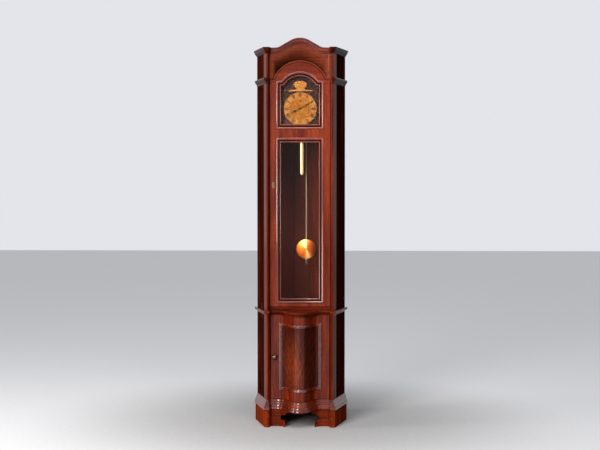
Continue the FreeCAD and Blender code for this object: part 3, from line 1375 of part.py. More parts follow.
os.makedirs("parts", exist_ok=True)
for name, shape in parts.items():
    shape.translate(vec(0, -middle_y))
    shape.exportStep("parts/" + name + ".step")
print(len(parts), "nodes")
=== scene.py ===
import bpy
import math
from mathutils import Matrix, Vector


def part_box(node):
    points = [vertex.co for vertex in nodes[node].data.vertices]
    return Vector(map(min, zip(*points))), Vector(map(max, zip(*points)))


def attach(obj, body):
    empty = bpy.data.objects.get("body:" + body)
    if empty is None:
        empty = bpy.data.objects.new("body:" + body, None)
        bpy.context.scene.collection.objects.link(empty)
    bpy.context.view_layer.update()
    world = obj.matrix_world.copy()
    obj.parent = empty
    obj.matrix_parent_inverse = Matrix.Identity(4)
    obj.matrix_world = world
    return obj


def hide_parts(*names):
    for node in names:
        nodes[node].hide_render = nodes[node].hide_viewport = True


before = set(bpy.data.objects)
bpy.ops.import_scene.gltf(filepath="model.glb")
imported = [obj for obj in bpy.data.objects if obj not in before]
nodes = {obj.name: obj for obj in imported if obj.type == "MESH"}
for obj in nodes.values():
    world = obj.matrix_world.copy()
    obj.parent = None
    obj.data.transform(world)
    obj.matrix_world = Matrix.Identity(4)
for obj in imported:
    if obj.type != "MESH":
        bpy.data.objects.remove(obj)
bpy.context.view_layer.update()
bpy.ops.object.select_all(action="DESELECT")

# Places and sizes, in metres

ring_low, ring_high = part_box("chapter_ring")
hands_x = 0.0
hands_z = (ring_low[2] + ring_high[2]) / 2
ring_front_y = ring_low[1]
upright = (math.radians(90.0), 0.0, 0.0)     # stands a flat form up, to face the front


# Materials

def new_finish(name):
    """A material with only its shader and output, ready for the nodes of one finish."""
    material = bpy.data.materials.new(name)
    material.use_nodes = True
    tree = material.node_tree
    shader = tree.nodes["Principled BSDF"]
    return material, tree, shader


def node(tree, kind, **settings):
    """A new node; each setting goes to the input of that name, or else to the node itself."""
    made = tree.nodes.new(kind)
    for key, value in settings.items():
        if key in made.inputs:
            made.inputs[key].default_value = value
        else:
            setattr(made, key, value)
    return made


def join(tree, out, into):
    tree.links.new(out, into)


def stretched_coords(tree, scale=(1.0, 1.0, 1.0), location=(0.0, 0.0, 0.0)):
    """Object coordinates, drawn out along the axis whose scale is small."""
    coords = node(tree, "ShaderNodeTexCoord")
    mapping = node(tree, "ShaderNodeMapping", Scale=scale, Location=location)
    join(tree, coords.outputs["Object"], mapping.inputs["Vector"])
    return mapping.outputs["Vector"]


def noise(tree, vector, scale, detail=3.0, roughness=0.5, distortion=0.0):
    made = node(tree, "ShaderNodeTexNoise", Scale=scale, Detail=detail, Roughness=roughness,
                Distortion=distortion)
    join(tree, vector, made.inputs["Vector"])
    return made.outputs["Fac"]


def math_node(tree, operation, first, second=0.0, third=0.0):
    """The result of one sum; each value is a number or a socket."""
    made = node(tree, "ShaderNodeMath", operation=operation)
    for socket, value in zip(made.inputs, (first, second, third)):
        if isinstance(value, (int, float)):
            socket.default_value = value
        else:
            join(tree, value, socket)
    return made.outputs[0]


def ramp(tree, value, stops):
    """Colours along a value, from (place, colour) pairs."""
    made = node(tree, "ShaderNodeValToRGB")
    line = made.color_ramp
    while len(line.elements) < len(stops):
        line.elements.new(0.5)
    for element, (place, colour) in zip(line.elements, stops):
        element.position = place
        element.color = (*colour, 1.0)
    join(tree, value, made.inputs["Fac"])
    return made.outputs["Color"]


def mixed(tree, kind, factor, first, second):
    """Two colours mixed; factor is a number or a socket."""
    made = node(tree, "ShaderNodeMix", data_type="RGBA", blend_type=kind)
    for socket, value in ((made.inputs[0], factor), (made.inputs[6], first), (made.inputs[7], second)):
        if isinstance(value, (int, float)):
            socket.default_value = value
        elif isinstance(value, tuple):
            socket.default_value = (*value, 1.0)
        else:
            join(tree, value, socket)
    return made.outputs[2]


def separate_axes(tree):
    """The object coordinates as separate X, Y and Z sockets."""
    parts = node(tree, "ShaderNodeSeparateXYZ")
    join(tree, node(tree, "ShaderNodeTexCoord").outputs["Object"], parts.inputs["Vector"])
    return parts.outputs


def darkened(colour, shares):
    """A colour with each channel lowered to its share."""
    return tuple(channel * share for channel, share in zip(colour, shares))


def spread(tree, value, low, high):
    """A value from 0 to 1, spread over the range from low to high."""
    made = node(tree, "ShaderNodeMapRange")
    made.inputs["To Min"].default_value = low
    made.inputs["To Max"].default_value = high
    join(tree, value, made.inputs["Value"])
    return made.outputs["Result"]


def raised(tree, height, strength, distance, shader):
    """Fine relief on the surface, from a height pattern."""
    bump = node(tree, "ShaderNodeBump", Strength=strength, Distance=distance)
    join(tree, height, bump.inputs["Height"])
    join(tree, bump.outputs["Normal"], shader.inputs["Normal"])


# Scale of the wood's pattern along X, Y and Z: small along the grain
grain_up = (1.0, 1.0, 0.07)
grain_across = (0.07, 1.0, 1.0)
grain_back = (1.0, 0.07, 1.0)


def polished_mahogany(name, tones, grain, shift=(0.0, 0.0, 0.0), gloss=0.2):
    """French-polished mahogany: broad bands, fine ribbon streaks and dark open pores along the grain."""
    material, tree, shader = new_finish(name)
    dark, middle, light = tones
    vector = stretched_coords(tree, grain, shift)
    bands = noise(tree, vector, 17.0, 3.0, 0.55, 0.8)
    streaks = noise(tree, vector, 130.0, 4.0, 0.6, 0.3)
    figure = math_node(tree, "MULTIPLY_ADD", streaks, 0.4, math_node(tree, "MULTIPLY", bands, 0.6))
    colour = ramp(tree, figure, [(0.32, dark), (0.5, middle), (0.68, light)])
    pores = noise(tree, vector, 900.0, 2.0, 0.6)
    pore_tone = ramp(tree, pores, [(0.36, (0.45, 0.4, 0.38)), (0.5, (1.0, 1.0, 1.0))])
    colour = mixed(tree, "MULTIPLY", 0.7, colour, pore_tone)
    join(tree, colour, shader.inputs["Base Color"])
    join(tree, spread(tree, bands, 0.13, 0.24), shader.inputs["Roughness"])
    shader.inputs["Specular IOR Level"].default_value = gloss
    raised(tree, pores, 0.05, 0.0003, shader)
    return material


# The flame figure and a painted pool of light over it stand left of the middle, where the bowed front turns
# to the lamp
flame_and_light_offset = 0.022      # the flame stands this far left of the middle
light_pool_height = 0.31


def flame_veneer(name):
    """Crotch-cut mahogany veneer: plumes that rise from a flame left of the middle, with a painted pool of
    light that lightens the figure there.
    """
    material, tree, shader = new_finish(name)
    axes = separate_axes(tree)
    sway = noise(tree, stretched_coords(tree, (1.0, 1.0, 0.5)), 9.0, 4.0, 0.6)
    sway = math_node(tree, "SUBTRACT", sway, 0.5)
    across = math_node(tree, "ADD", axes["X"], flame_and_light_offset)
    across = math_node(tree, "MULTIPLY_ADD", sway, 0.05, across)
    away = math_node(tree, "ABSOLUTE", across)
    plume = math_node(tree, "POWER", away, 0.6)
    climb = math_node(tree, "MULTIPLY_ADD", plume, -1.1, axes["Z"])
    climb = math_node(tree, "MULTIPLY_ADD", sway, 0.09, climb)
    wave = math_node(tree, "SINE", math_node(tree, "MULTIPLY", climb, 120.0))
    fine = noise(tree, stretched_coords(tree, (1.0, 1.0, 0.12)), 160.0, 4.0, 0.6, 0.6)
    feather = math_node(tree, "MULTIPLY_ADD", wave, 0.05, fine)
    # Painted light: a round pool centred on the flame mixes the dark figure into a lighter copy of it; the
    # figure itself is the veneer's own
    width = math_node(tree, "MULTIPLY", across, 19.0)
    lift = math_node(tree, "MULTIPLY", math_node(tree, "SUBTRACT", axes["Z"], light_pool_height), 7.5)
    far = math_node(tree, "ADD", math_node(tree, "MULTIPLY", width, width),
                    math_node(tree, "MULTIPLY", lift, lift))
    painted_light_pool = math_node(tree, "EXPONENT", math_node(tree, "MULTIPLY", far, -1.0))
    ground = ramp(tree, feather, [(0.3, (0.016, 0.0025, 0.002)), (0.5, (0.034, 0.005, 0.003)),
                                  (0.72, (0.06, 0.009, 0.004))])
    flame = ramp(tree, feather, [(0.3, (0.06, 0.0095, 0.004)), (0.5, (0.14, 0.022, 0.007)),
                                 (0.72, (0.24, 0.042, 0.01))])
    colour = mixed(tree, "MIX", painted_light_pool, ground, flame)
    join(tree, colour, shader.inputs["Base Color"])
    join(tree, spread(tree, fine, 0.13, 0.22), shader.inputs["Roughness"])
    raised(tree, fine, 0.03, 0.0003, shader)
    shader.inputs["Specular IOR Level"].default_value = 0.2
    return material


def plain_boards(name, dark, light, grain):
    """Unpolished boards seen inside and behind the case."""
    material, tree, shader = new_finish(name)
    vector = stretched_coords(tree, grain)
    streaks = noise(tree, vector, 60.0, 5.0, 0.6, 0.4)
    fine = noise(tree, vector, 500.0, 3.0, 0.6)
    figure = math_node(tree, "MULTIPLY_ADD", fine, 0.35, math_node(tree, "MULTIPLY", streaks, 0.65))
    join(tree, ramp(tree, figure, [(0.35, dark), (0.65, light)]), shader.inputs["Base Color"])
    join(tree, spread(tree, fine, 0.5, 0.75), shader.inputs["Roughness"])
    raised(tree, fine, 0.15, 0.0005, shader)
    shader.inputs["Specular IOR Level"].default_value = 0.08
    return material


def lacquered_brass(name, colour, low, high, stretch=(1.0, 1.0, 1.0), scale=40.0, tarnish=0.25):
    """Lacquered brass with fine brushing and faint darker clouds."""
    material, tree, shader = new_finish(name)
    vector = stretched_coords(tree, stretch)
    clouds = noise(tree, vector, scale, 4.0, 0.6)
    brush = noise(tree, vector, scale * 25.0, 3.0, 0.6)
    dull = darkened(colour, (0.62, 0.5, 0.42))
    tone = ramp(tree, clouds, [(0.3, dull), (0.6, colour)])
    join(tree, mixed(tree, "MIX", 1.0 - tarnish, tone, colour), shader.inputs["Base Color"])
    join(tree, spread(tree, brush, low, high), shader.inputs["Roughness"])
    raised(tree, brush, 0.05, 0.0002, shader)
    shader.inputs["Metallic"].default_value = 1.0
    return material


def brass_with_dark_end(name, colour, dark, far_y):
    """Turned brass whose front end, in front of far_y, is dark, as an arbor's steel end is."""
    material = lacquered_brass(name, colour, 0.2, 0.32)
    tree = material.node_tree
    shader = tree.nodes["Principled BSDF"]
    ahead = math_node(tree, "LESS_THAN", separate_axes(tree)["Y"], far_y)
    brass_tone = shader.inputs["Base Color"].links[0].from_socket
    join(tree, mixed(tree, "MIX", ahead, brass_tone, dark), shader.inputs["Base Color"])
    return material


def turned_brass(name, colour, middle_x, middle_z):
    """Brass with the fine rings of the lathe, and a painted highlight: a bow-tie of light and dark sectors
    painted into its colour, as the rings show it in the light.
    """
    material, tree, shader = new_finish(name)
    axes = separate_axes(tree)
    across = math_node(tree, "SUBTRACT", axes["X"], middle_x)
    up = math_node(tree, "SUBTRACT", axes["Z"], middle_z)
    out = math_node(tree, "SQRT", math_node(tree, "ADD", math_node(tree, "MULTIPLY", across, across),
                                             math_node(tree, "MULTIPLY", up, up)))
    rings = math_node(tree, "SINE", math_node(tree, "MULTIPLY", out, 5200.0))
    turn = math_node(tree, "ARCTAN2", up, across)
    # Painted highlight and shade: round the bob the colour runs from darkened brass in two opposite sectors
    # to a pale glint in the two between
    highlight_fan = math_node(tree, "SINE", math_node(tree, "MULTIPLY_ADD", turn, 2.0, -2.13))
    highlight_fan = math_node(tree, "MULTIPLY_ADD", highlight_fan, 0.5, 0.5)
    dull = darkened(colour, (0.6, 0.42, 0.3))
    glint_tone = (0.95, 0.5, 0.14)
    tone = ramp(tree, highlight_fan, [(0.45, dull), (0.85, colour), (0.99, glint_tone)])
    join(tree, tone, shader.inputs["Base Color"])
    join(tree, spread(tree, rings, 0.38, 0.48), shader.inputs["Roughness"])
    raised(tree, rings, 0.06, 0.0002, shader)
    shader.inputs["Metallic"].default_value = 1.0
    return material


def dark_bronze(name):
    """The dial's dark ground: bronzed metal with a fine cast scroll texture."""
    material, tree, shader = new_finish(name)
    vector = stretched_coords(tree)
    cast = noise(tree, vector, 105.0, 2.0, 0.5, 2.5)
    grit = noise(tree, vector, 900.0, 2.0, 0.5)
    tone = ramp(tree, cast, [(0.42, (0.005, 0.0015, 0.001)), (0.56, (0.016, 0.004, 0.002)),
                             (0.68, (0.1, 0.032, 0.008))])
    join(tree, tone, shader.inputs["Base Color"])
    join(tree, spread(tree, grit, 0.5, 0.7), shader.inputs["Roughness"])
    raised(tree, cast, 0.35, 0.0006, shader)
    shader.inputs["Specular IOR Level"].default_value = 0.08
    return material


def clear_glass(name):
    """Old window glass with a faint ripple."""
    material, tree, shader = new_finish(name)
    ripple = noise(tree, stretched_coords(tree, (1.0, 1.0, 0.6)), 3.0, 1.0)
    raised(tree, ripple, 0.02, 0.002, shader)
    shader.inputs["Base Color"].default_value = (0.96, 0.97, 0.96, 1.0)
    shader.inputs["Roughness"].default_value = 0.0
    shader.inputs["Transmission Weight"].default_value = 1.0
    shader.inputs["IOR"].default_value = 1.2
    return material


def satin_steel(name, colour, low, high, stretch):
    """Steel, or the pendulum's rod, brushed along the axis whose stretch is small."""
    material, tree, shader = new_finish(name)
    vector = stretched_coords(tree, stretch)
    brush = noise(tree, vector, 700.0, 3.0, 0.6)
    tone = ramp(tree, brush, [(0.3, darkened(colour, (0.7, 0.7, 0.7))), (0.7, colour)])
    join(tree, tone, shader.inputs["Base Color"])
    join(tree, spread(tree, brush, low, high), shader.inputs["Roughness"])
    raised(tree, brush, 0.05, 0.0002, shader)
    shader.inputs["Metallic"].default_value = 1.0
    return material


def black_enamel(name):
    """The dark paint of the numerals and the blackened hands."""
    material, tree, shader = new_finish(name)
    vector = stretched_coords(tree)
    specks = noise(tree, vector, 700.0, 3.0, 0.6)
    tone = ramp(tree, specks, [(0.3, (0.008, 0.004, 0.002)), (0.7, (0.018, 0.008, 0.004))])
    join(tree, tone, shader.inputs["Base Color"])
    join(tree, spread(tree, specks, 0.35, 0.5), shader.inputs["Roughness"])
    shader.inputs["Specular IOR Level"].default_value = 0.03
    return material


# Dark, middle and light tone of each wood
case_tones = ((0.035, 0.0035, 0.0015), (0.11, 0.012, 0.0035), (0.24, 0.03, 0.006))
door_tones = ((0.06, 0.006, 0.002), (0.145, 0.0165, 0.004), (0.28, 0.038, 0.009))
# near-black tones for the quirk of the window mouldings: painted shade in the hollow
quirk_shade_tones = ((0.01, 0.0012, 0.0008), (0.01, 0.0012, 0.0008), (0.03, 0.0035, 0.0015))
# The side and sunk side-panel tones are darker copies of the case tones: painted shade on the canted sides,
# their panels and mouldings, and the crown's sides
side_panel_shade_tones = ((0.012, 0.002, 0.0012), (0.03, 0.0045, 0.002), (0.065, 0.0095, 0.003))
side_shade_tones = ((0.012, 0.002, 0.0012), (0.03, 0.0045, 0.002), (0.11, 0.012, 0.0035))
plinth_tones = ((0.08, 0.01, 0.003), (0.17, 0.022, 0.006), (0.26, 0.036, 0.009))
frieze_tones = ((0.1, 0.018, 0.008), (0.17, 0.032, 0.014), (0.24, 0.048, 0.021))

case_upright = polished_mahogany("case mahogany, upright grain", case_tones, grain_up)
post_upright = polished_mahogany("corner posts, upright grain", case_tones, grain_up, (0.0, 0.8, 0.0), 0.02)
case_crosswise = polished_mahogany("case mahogany, level grain", case_tones, grain_across, gloss=0.06)
case_sideways = polished_mahogany("side mouldings, level grain", side_shade_tones, grain_back, gloss=0.02)
side_upright = polished_mahogany("side frames, upright grain", side_shade_tones, grain_up, (0.0, 0.6, 0.0), 0.0)
plinth_sideways = polished_mahogany("plinth sides, upright grain", plinth_tones, grain_up,
                                    (0.0, 0.5, 0.0), 0.0)
door_upright = polished_mahogany("door mahogany, upright grain", door_tones, grain_up, (0.3, 0.0, 0.0))
case_trim = polished_mahogany("case mouldings, level grain", case_tones, grain_across, (0.0, 0.2, 0.0), 0.5)
bead_trim = polished_mahogany("panel bead, level grain", case_tones, grain_across, (0.0, 0.25, 0.0), 1.0)
door_trim = polished_mahogany("window mouldings", door_tones, grain_up, (0.0, 0.3, 0.0), 0.7)
quirk_painted_shade = polished_mahogany("painted shade in the hollows of the window mouldings", quirk_shade_tones, grain_up,
                               (0.0, 0.1, 0.0), 0.1)
door_crosswise = polished_mahogany("door mahogany, level grain", door_tones, grain_across, (0.3, 0.0, 0.0))
side_veneer = polished_mahogany("sunk side veneer", side_panel_shade_tones, grain_up, (0.0, 0.4, 0.0), 0.0)
frieze_veneer = polished_mahogany("frieze veneer", frieze_tones, grain_across, (0.0, 0.7, 0.0), 0.08)
front_veneer = flame_veneer("flame veneer of the base door")
inner_boards = plain_boards("inner boards", (0.045, 0.0055, 0.0022), (0.11, 0.015, 0.006), grain_up)
top_boards = plain_boards("level boards", (0.1, 0.045, 0.024), (0.2, 0.1, 0.055), grain_across)
dial_brass = lacquered_brass("dial brass", (0.185, 0.075, 0.017), 0.36, 0.5, (1.0, 1.0, 0.15), 30.0, 0.5)
centre_brass = lacquered_brass("matted dial centre", (0.15, 0.054, 0.0075), 0.45, 0.6, scale=55.0,
                               tarnish=0.6)
plate_brass = lacquered_brass("plate brass", (0.3, 0.15, 0.045), 0.28, 0.4, (1.0, 1.0, 0.2), 30.0)
wheel_tone = (0.8, 0.5, 0.19)
wheel_brass = lacquered_brass("wheel brass", wheel_tone, 0.2, 0.32)
weight_brass = lacquered_brass("weight brass", (0.86, 0.54, 0.2), 0.16, 0.26, (1.0, 1.0, 0.1), 25.0, 0.15)
arbor_end_length = 0.02
barrel_brass = brass_with_dark_end("barrel brass", wheel_tone, (0.012, 0.008, 0.006),
                                   ring_front_y + arbor_end_length)
bob_low, bob_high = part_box("pendulum_bob")
bob_brass = turned_brass("bob brass", (0.6, 0.16, 0.025), (bob_low[0] + bob_high[0]) / 2,
                         (bob_low[2] + bob_high[2]) / 2)
dial_ground = dark_bronze("bronzed dial ground")
steel = satin_steel("train steel", (0.5, 0.5, 0.51), 0.25, 0.4, (1.0, 0.1, 1.0))
rod_steel = satin_steel("rod steel", (0.42, 0.3, 0.17), 0.25, 0.4, (1.0, 1.0, 0.05))
cable_steel = satin_steel("cable steel", (0.5, 0.44, 0.36), 0.35, 0.5, (1.0, 1.0, 0.05))
handle_bronze = lacquered_brass("dark bronze fittings", (0.13, 0.075, 0.05), 0.25, 0.4, scale=60.0,
                                tarnish=0.4)
black = black_enamel("dial black")
blued = black_enamel("blackened hands")
glass = clear_glass("window glass")

finishes = {
    case_upright: ["base_door_board"],
    post_upright: ["base_post_left", "base_post_right", "trunk_post_left", "trunk_post_right"],
    plinth_sideways: ["plinth_side_left", "plinth_side_right"],
    side_upright: ["base_frame_left", "base_frame_right", "trunk_frame_left", "trunk_frame_right"],
    case_crosswise: ["plinth_front", "waist_board", "trunk_rail"],
    case_trim: ["plinth_moulding", "crown_front"],
    bead_trim: ["base_door_bead"],
    case_sideways: ["capital_mouldings", "crown_sides"],
    side_veneer: ["base_side_panels", "trunk_side_panels"],
    frieze_veneer: ["frieze_panel"],
    door_upright: ["door_frame"],
    door_trim: ["dial_window_moulding", "trunk_window_moulding"],
    door_crosswise: ["door_head"],
    front_veneer: ["base_door_panel"],
    inner_boards: ["back_board_left", "back_board_right", "corner_board"],
    top_boards: ["base_floor", "top_board", "seat_board"],
    dial_brass: ["chapter_ring", "arch_cartouche"],
    centre_brass: ["dial_centre"],
    dial_ground: ["dial_plate", "spandrels"],
    plate_brass: ["movement_plates", "plate_pillars", "suspension_cock"],
    handle_bronze: ["door_lock", "turn_knob"],
    barrel_brass: ["winding_barrel", "centre_wheel"],
    wheel_brass: ["third_wheel", "escape_wheel", "minute_wheel", "weight_pulley"],
    weight_brass: ["weight_body"],
    bob_brass: ["pendulum_bob"],
    steel: ["anchor_crutch", "lock_bolt"],
    rod_steel: ["pendulum_rod"],
    cable_steel: ["weight_cable", "barrel_cable"],
    blued: ["minute_hand", "hour_hand"],
    glass: ["dial_glass", "trunk_glass"],
}

for finish, names in finishes.items():
    for name in names:
        nodes[name].data.materials.clear()
        nodes[name].data.materials.append(finish)

# Edges of the joinery are softened as a sanded and polished edge is: width in metres, then the pieces

softened = {0.0012: ["plinth_front", "plinth_side_left", "plinth_side_right", "base_frame_left",
                     "base_frame_right", "trunk_frame_left", "trunk_frame_right", "door_frame", "door_head",
                     "base_door_board", "frieze_panel", "trunk_rail"],
            0.0018: ["plinth_moulding", "waist_board", "crown_front"],
            0.0005: ["base_post_left", "base_post_right", "trunk_post_left", "trunk_post_right",
                     "crown_sides", "capital_mouldings", "turn_knob", "weight_body", "arch_cartouche",
                     "base_door_panel"],
            0.0026: ["base_door_bead"]}

weld_reach = 0.00001
sharp_angle = math.radians(20.0)

for width, names in softened.items():
    for name in names:
        piece = nodes[name]
        bpy.ops.object.select_all(action="DESELECT")
        piece.select_set(True)
        bpy.context.view_layer.objects.active = piece
        bpy.ops.mesh.customdata_custom_splitnormals_clear()
        for face in piece.data.polygons:
            face.use_smooth = True
        weld = piece.modifiers.new("merge", "WELD")
        weld.merge_threshold = weld_reach
        edge = piece.modifiers.new("soft edge", "BEVEL")
        edge.width = width
        edge.segments = 2
        edge.limit_method = "ANGLE"
        edge.angle_limit = sharp_angle
        edge.harden_normals = True

for name in ("dial_glass", "trunk_glass"):
    nodes[name].visible_shadow = False


def joined(pieces, name):
    """Several pieces made one, with nothing left selected."""
    bpy.ops.object.select_all(action="DESELECT")
    for piece in pieces:
        piece.select_set(True)
    bpy.context.view_layer.objects.active = pieces[0]
    bpy.ops.object.join()
    whole = bpy.context.object
    whole.name = name
    bpy.ops.object.select_all(action="DESELECT")
    return whole


# Window mouldings of the tall door: ovolo, quirk darkened with painted shade, and inner bead

millimetre = 0.001
ring_reach = 0.026       # from the window's edge to the moulding's outer edge
lip_reach = 0.0067       # how far the lip reaches over the door's rebate
lip_depth = 0.013
# Steps of the moulding's front from its outer edge inwards: width, then rise towards the front, in mm
ring_steps = [(0.0, 1.8), (0.6, 1.4), (1.4, 1.2), (2.2, 0.6), (2.6, -0.1), (2.4, -0.9), (1.8, -1.4),
              (0.9, -1.7), (0.5, -0.6), (6.2, -0.1), (0.5, 1.5), (0.8, 1.3), (1.0, 0.8), (1.1, 0.1),
              (1.2, -0.5), (1.1, -1.2), (0.9, -2.0), (0.5, -3.0), (0.3, -10.2)]
# The faces of the quirk get the near-black finish, a painted shade in the hollow
quirk_low, quirk_high = 0.00015, 0.00095     # faces between these rises lie in the quirk
dial_arch_radius = 0.094
dial_shoulder_rise = 0.046                   # from the arch's centre up to its shoulders
arch_points = 120
cut_slack = 0.00001
flank_slack = 0.0005
seam_slack = 0.00002


def chosen_edges(piece, wanted):
    """Selects the edges whose two ends pass the test, in edit mode."""
    bpy.ops.mesh.select_mode(type="EDGE")
    bpy.ops.mesh.select_all(action="DESELECT")
    bpy.ops.object.mode_set(mode="OBJECT")
    for edge in piece.data.edges:
        edge.select = wanted([piece.data.vertices[index].co for index in edge.vertices])
    bpy.ops.object.mode_set(mode="EDIT")


def dial_outline(reach, y):
    """The dial window's outline moved outwards, as one face turned to the front."""
    low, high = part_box("dial_window_moulding")
    half = high[0] - ring_reach + reach
    bottom = low[2] + ring_reach - reach
    radius = dial_arch_radius + reach
    arch_z = high[2] - ring_reach - dial_arch_radius
    shoulder = arch_z + dial_shoulder_rise + reach
    chord = math.sqrt(radius ** 2 - (shoulder - arch_z) ** 2)
    bpy.ops.mesh.primitive_circle_add(vertices=arch_points, radius=radius, fill_type="NGON",
                                      location=(0.0, y, arch_z), rotation=upright)
    bpy.ops.object.transform_apply(location=True, rotation=True, scale=True)
    outline = bpy.context.object
    bpy.ops.object.mode_set(mode="EDIT")
    bpy.ops.mesh.select_mode(type="EDGE")
    bpy.ops.mesh.select_all(action="SELECT")
    bpy.ops.mesh.bisect(plane_co=(0.0, y, shoulder), plane_no=(0.0, 0.0, 1.0), clear_inner=True)
    chosen_edges(outline, lambda ends: all(abs(end.z - shoulder) < cut_slack for end in ends))
    bpy.ops.mesh.extrude_region_move(TRANSFORM_OT_translate={"value": (0.0, 0.0, bottom - shoulder)})
    for side in (-1.0, 1.0):
        chosen_edges(outline, lambda ends: all(abs(end.x - side * chord) < flank_slack for end in ends)
                     and abs(ends[0].z - ends[1].z) > half)
        bpy.ops.mesh.extrude_region_move(TRANSFORM_OT_translate={"value": (side * (half - chord), 0.0, 0.0)})
    bpy.ops.mesh.select_mode(type="FACE")
    bpy.ops.mesh.select_all(action="SELECT")
    bpy.ops.mesh.normals_make_consistent(inside=False)
    bpy.ops.mesh.dissolve_faces()
    bpy.ops.object.mode_set(mode="OBJECT")
    return outline


def trunk_outline(reach, y):
    """The trunk window's outline moved outwards, as one face turned to the front."""
    low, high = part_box("trunk_window_moulding")
    inwards = ring_reach - reach
    bpy.ops.mesh.primitive_plane_add(size=1.0, location=(0.0, y, (low[2] + high[2]) / 2),
                                     rotation=upright)
    outline = bpy.context.object
    outline.scale = (high[0] - low[0] - 2 * inwards, high[2] - low[2] - 2 * inwards, 1.0)
    bpy.ops.object.transform_apply(location=True, rotation=True, scale=True)
    return outline


def inset_steps(outline, steps):
    """Insets the face step by step, then opens the ring by deleting what is left of it."""
    bpy.ops.object.select_all(action="DESELECT")
    outline.select_set(True)
    bpy.context.view_layer.objects.active = outline
    turned_back = outline.data.polygons[0].normal.y > 0.0
    bpy.ops.object.mode_set(mode="EDIT")
    bpy.ops.mesh.select_mode(type="FACE")
    bpy.ops.mesh.select_all(action="SELECT")
    if turned_back:
        bpy.ops.mesh.flip_normals()
    for width, rise in steps:
        bpy.ops.mesh.inset(thickness=width, depth=rise, use_even_offset=True, use_boundary=True)
    bpy.ops.mesh.delete(type="FACE")
    bpy.ops.object.mode_set(mode="OBJECT")


def window_ring(name, replaced, outline_of):
    """A closed ring: the moulded front and the flat back with its lip, joined at their edges."""
    front_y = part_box("door_frame")[0][1]
    front = outline_of(ring_reach, front_y)
    inset_steps(front, [(width * millimetre, rise * millimetre) for width, rise in ring_steps])
    bpy.ops.object.select_all(action="DESELECT")
    back = outline_of(ring_reach, front_y)
    inset_steps(back, [(ring_reach - lip_reach, 0.0), (0.0, -lip_depth), (lip_reach, 0.0)])
    ring = joined([front, back], name)
    ring.select_set(True)
    bpy.context.view_layer.objects.active = ring
    bpy.ops.object.mode_set(mode="EDIT")
    bpy.ops.mesh.select_all(action="SELECT")
    bpy.ops.mesh.remove_doubles(threshold=seam_slack)
    bpy.ops.mesh.normals_make_consistent(inside=False)
    bpy.ops.object.mode_set(mode="OBJECT")
    bpy.ops.object.shade_smooth_by_angle(angle=math.radians(40.0))
    ring.data.materials.clear()
    ring.data.materials.append(door_trim)
    ring.data.materials.append(quirk_painted_shade)
    # faces in the quirk take the second slot, the painted shade
    for face in ring.data.polygons:
        rises = [front_y - ring.data.vertices[index].co.y for index in face.vertices]
        face.material_index = 1 if min(rises) > quirk_low and max(rises) < quirk_high else 0
    bpy.ops.object.select_all(action="DESELECT")
    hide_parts(replaced)
    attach(ring, "upper_door")


window_ring("dial_window_ring", "dial_window_moulding", dial_outline)
window_ring("trunk_window_ring", "trunk_window_moulding", trunk_outline)


# Marks of the dial

mark_depth = 0.0003


def flat_bar(x, z, width, height, turn):
    """A thin upright bar on the chapter ring's face, turned clockwise by turn."""
    bpy.ops.mesh.primitive_cube_add(size=1.0, location=(x, ring_front_y - mark_depth / 2, z),
                                    rotation=(0.0, turn, 0.0), scale=(width, mark_depth, height))
    bar = bpy.context.object
    bpy.ops.object.transform_apply(location=True, rotation=True, scale=True)
    return bar


numeral_radius = 0.0705
numeral_height = 0.0165
stem = 0.0032            # width of a broad stroke
hairline = 0.0015        # width of a fine stroke and of the serifs
cross_lengthening = 1.08
letter_widths = {"I": 0.005, "V": 0.0098, "X": 0.0102}
numerals = ["XII", "I", "II", "III", "IIII", "V", "VI", "VII", "VIII", "IX", "X", "XI"]


def numeral(word, hour):
    """One upright Roman numeral, built from its strokes, then set round the ring with its foot inwards."""
    turn = hour * math.radians(30.0)
    outward = Vector((math.sin(turn), 0.0, math.cos(turn)))
    sideways = Vector((math.cos(turn), 0.0, -math.sin(turn)))
    total = sum(letter_widths[letter] for letter in word)
    start = -total / 2
    strokes = []

    def stroke(across, up, width, height, lean=0.0):
        place = Vector((hands_x, 0.0, hands_z)) + outward * (numeral_radius + up) + sideways * across
        strokes.append(flat_bar(place.x, place.z, width, height, turn + lean))

    for letter in word:
        width = letter_widths[letter]
        middle = start + width / 2
        lean = math.atan2(width * 0.62, numeral_height)
        if letter == "I":
            stroke(middle, 0.0, stem, numeral_height)
        elif letter == "V":
            stroke(middle - width * 0.19, 0.0, stem, numeral_height, -lean * 0.62)
            stroke(middle + width * 0.19, 0.0, hairline, numeral_height, lean * 0.62)
        else:
            stroke(middle, 0.0, stem, numeral_height * cross_lengthening, -lean)
            stroke(middle, 0.0, hairline, numeral_height * cross_lengthening, lean)
        start += width
    for edge in (-1.0, 1.0):
        stroke(0.0, edge * numeral_height / 2, total, hairline)
    return strokes


minute_radius = 0.0822
hour_mark = (0.0016, 0.0034)         # width and length
minute_mark = (0.0008, 0.0022)
circle_radii = (0.0568, 0.0804, 0.0842)

marks = []
for hour, word in enumerate(numerals):
    marks += numeral(word, hour)
for minute in range(60):
    turn = minute * math.radians(6.0)
    mark_width, mark_length = hour_mark if minute % 5 == 0 else minute_mark
    marks.append(flat_bar(hands_x + minute_radius * math.sin(turn), hands_z + minute_radius * math.cos(turn),
                          mark_width, mark_length, turn))
for radius in circle_radii:
    bpy.ops.mesh.primitive_torus_add(major_segments=96, minor_segments=6, major_radius=radius,
                                     minor_radius=mark_depth, location=(hands_x, ring_front_y, hands_z),
                                     rotation=upright)
    bpy.ops.object.transform_apply(location=True, rotation=True, scale=True)
    marks.append(bpy.context.object)
dial_marks = joined(marks, "dial_marks")
dial_marks.data.materials.clear()
dial_marks.data.materials.append(black)
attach(dial_marks, "case")

# Turns of cable wound on the barrel

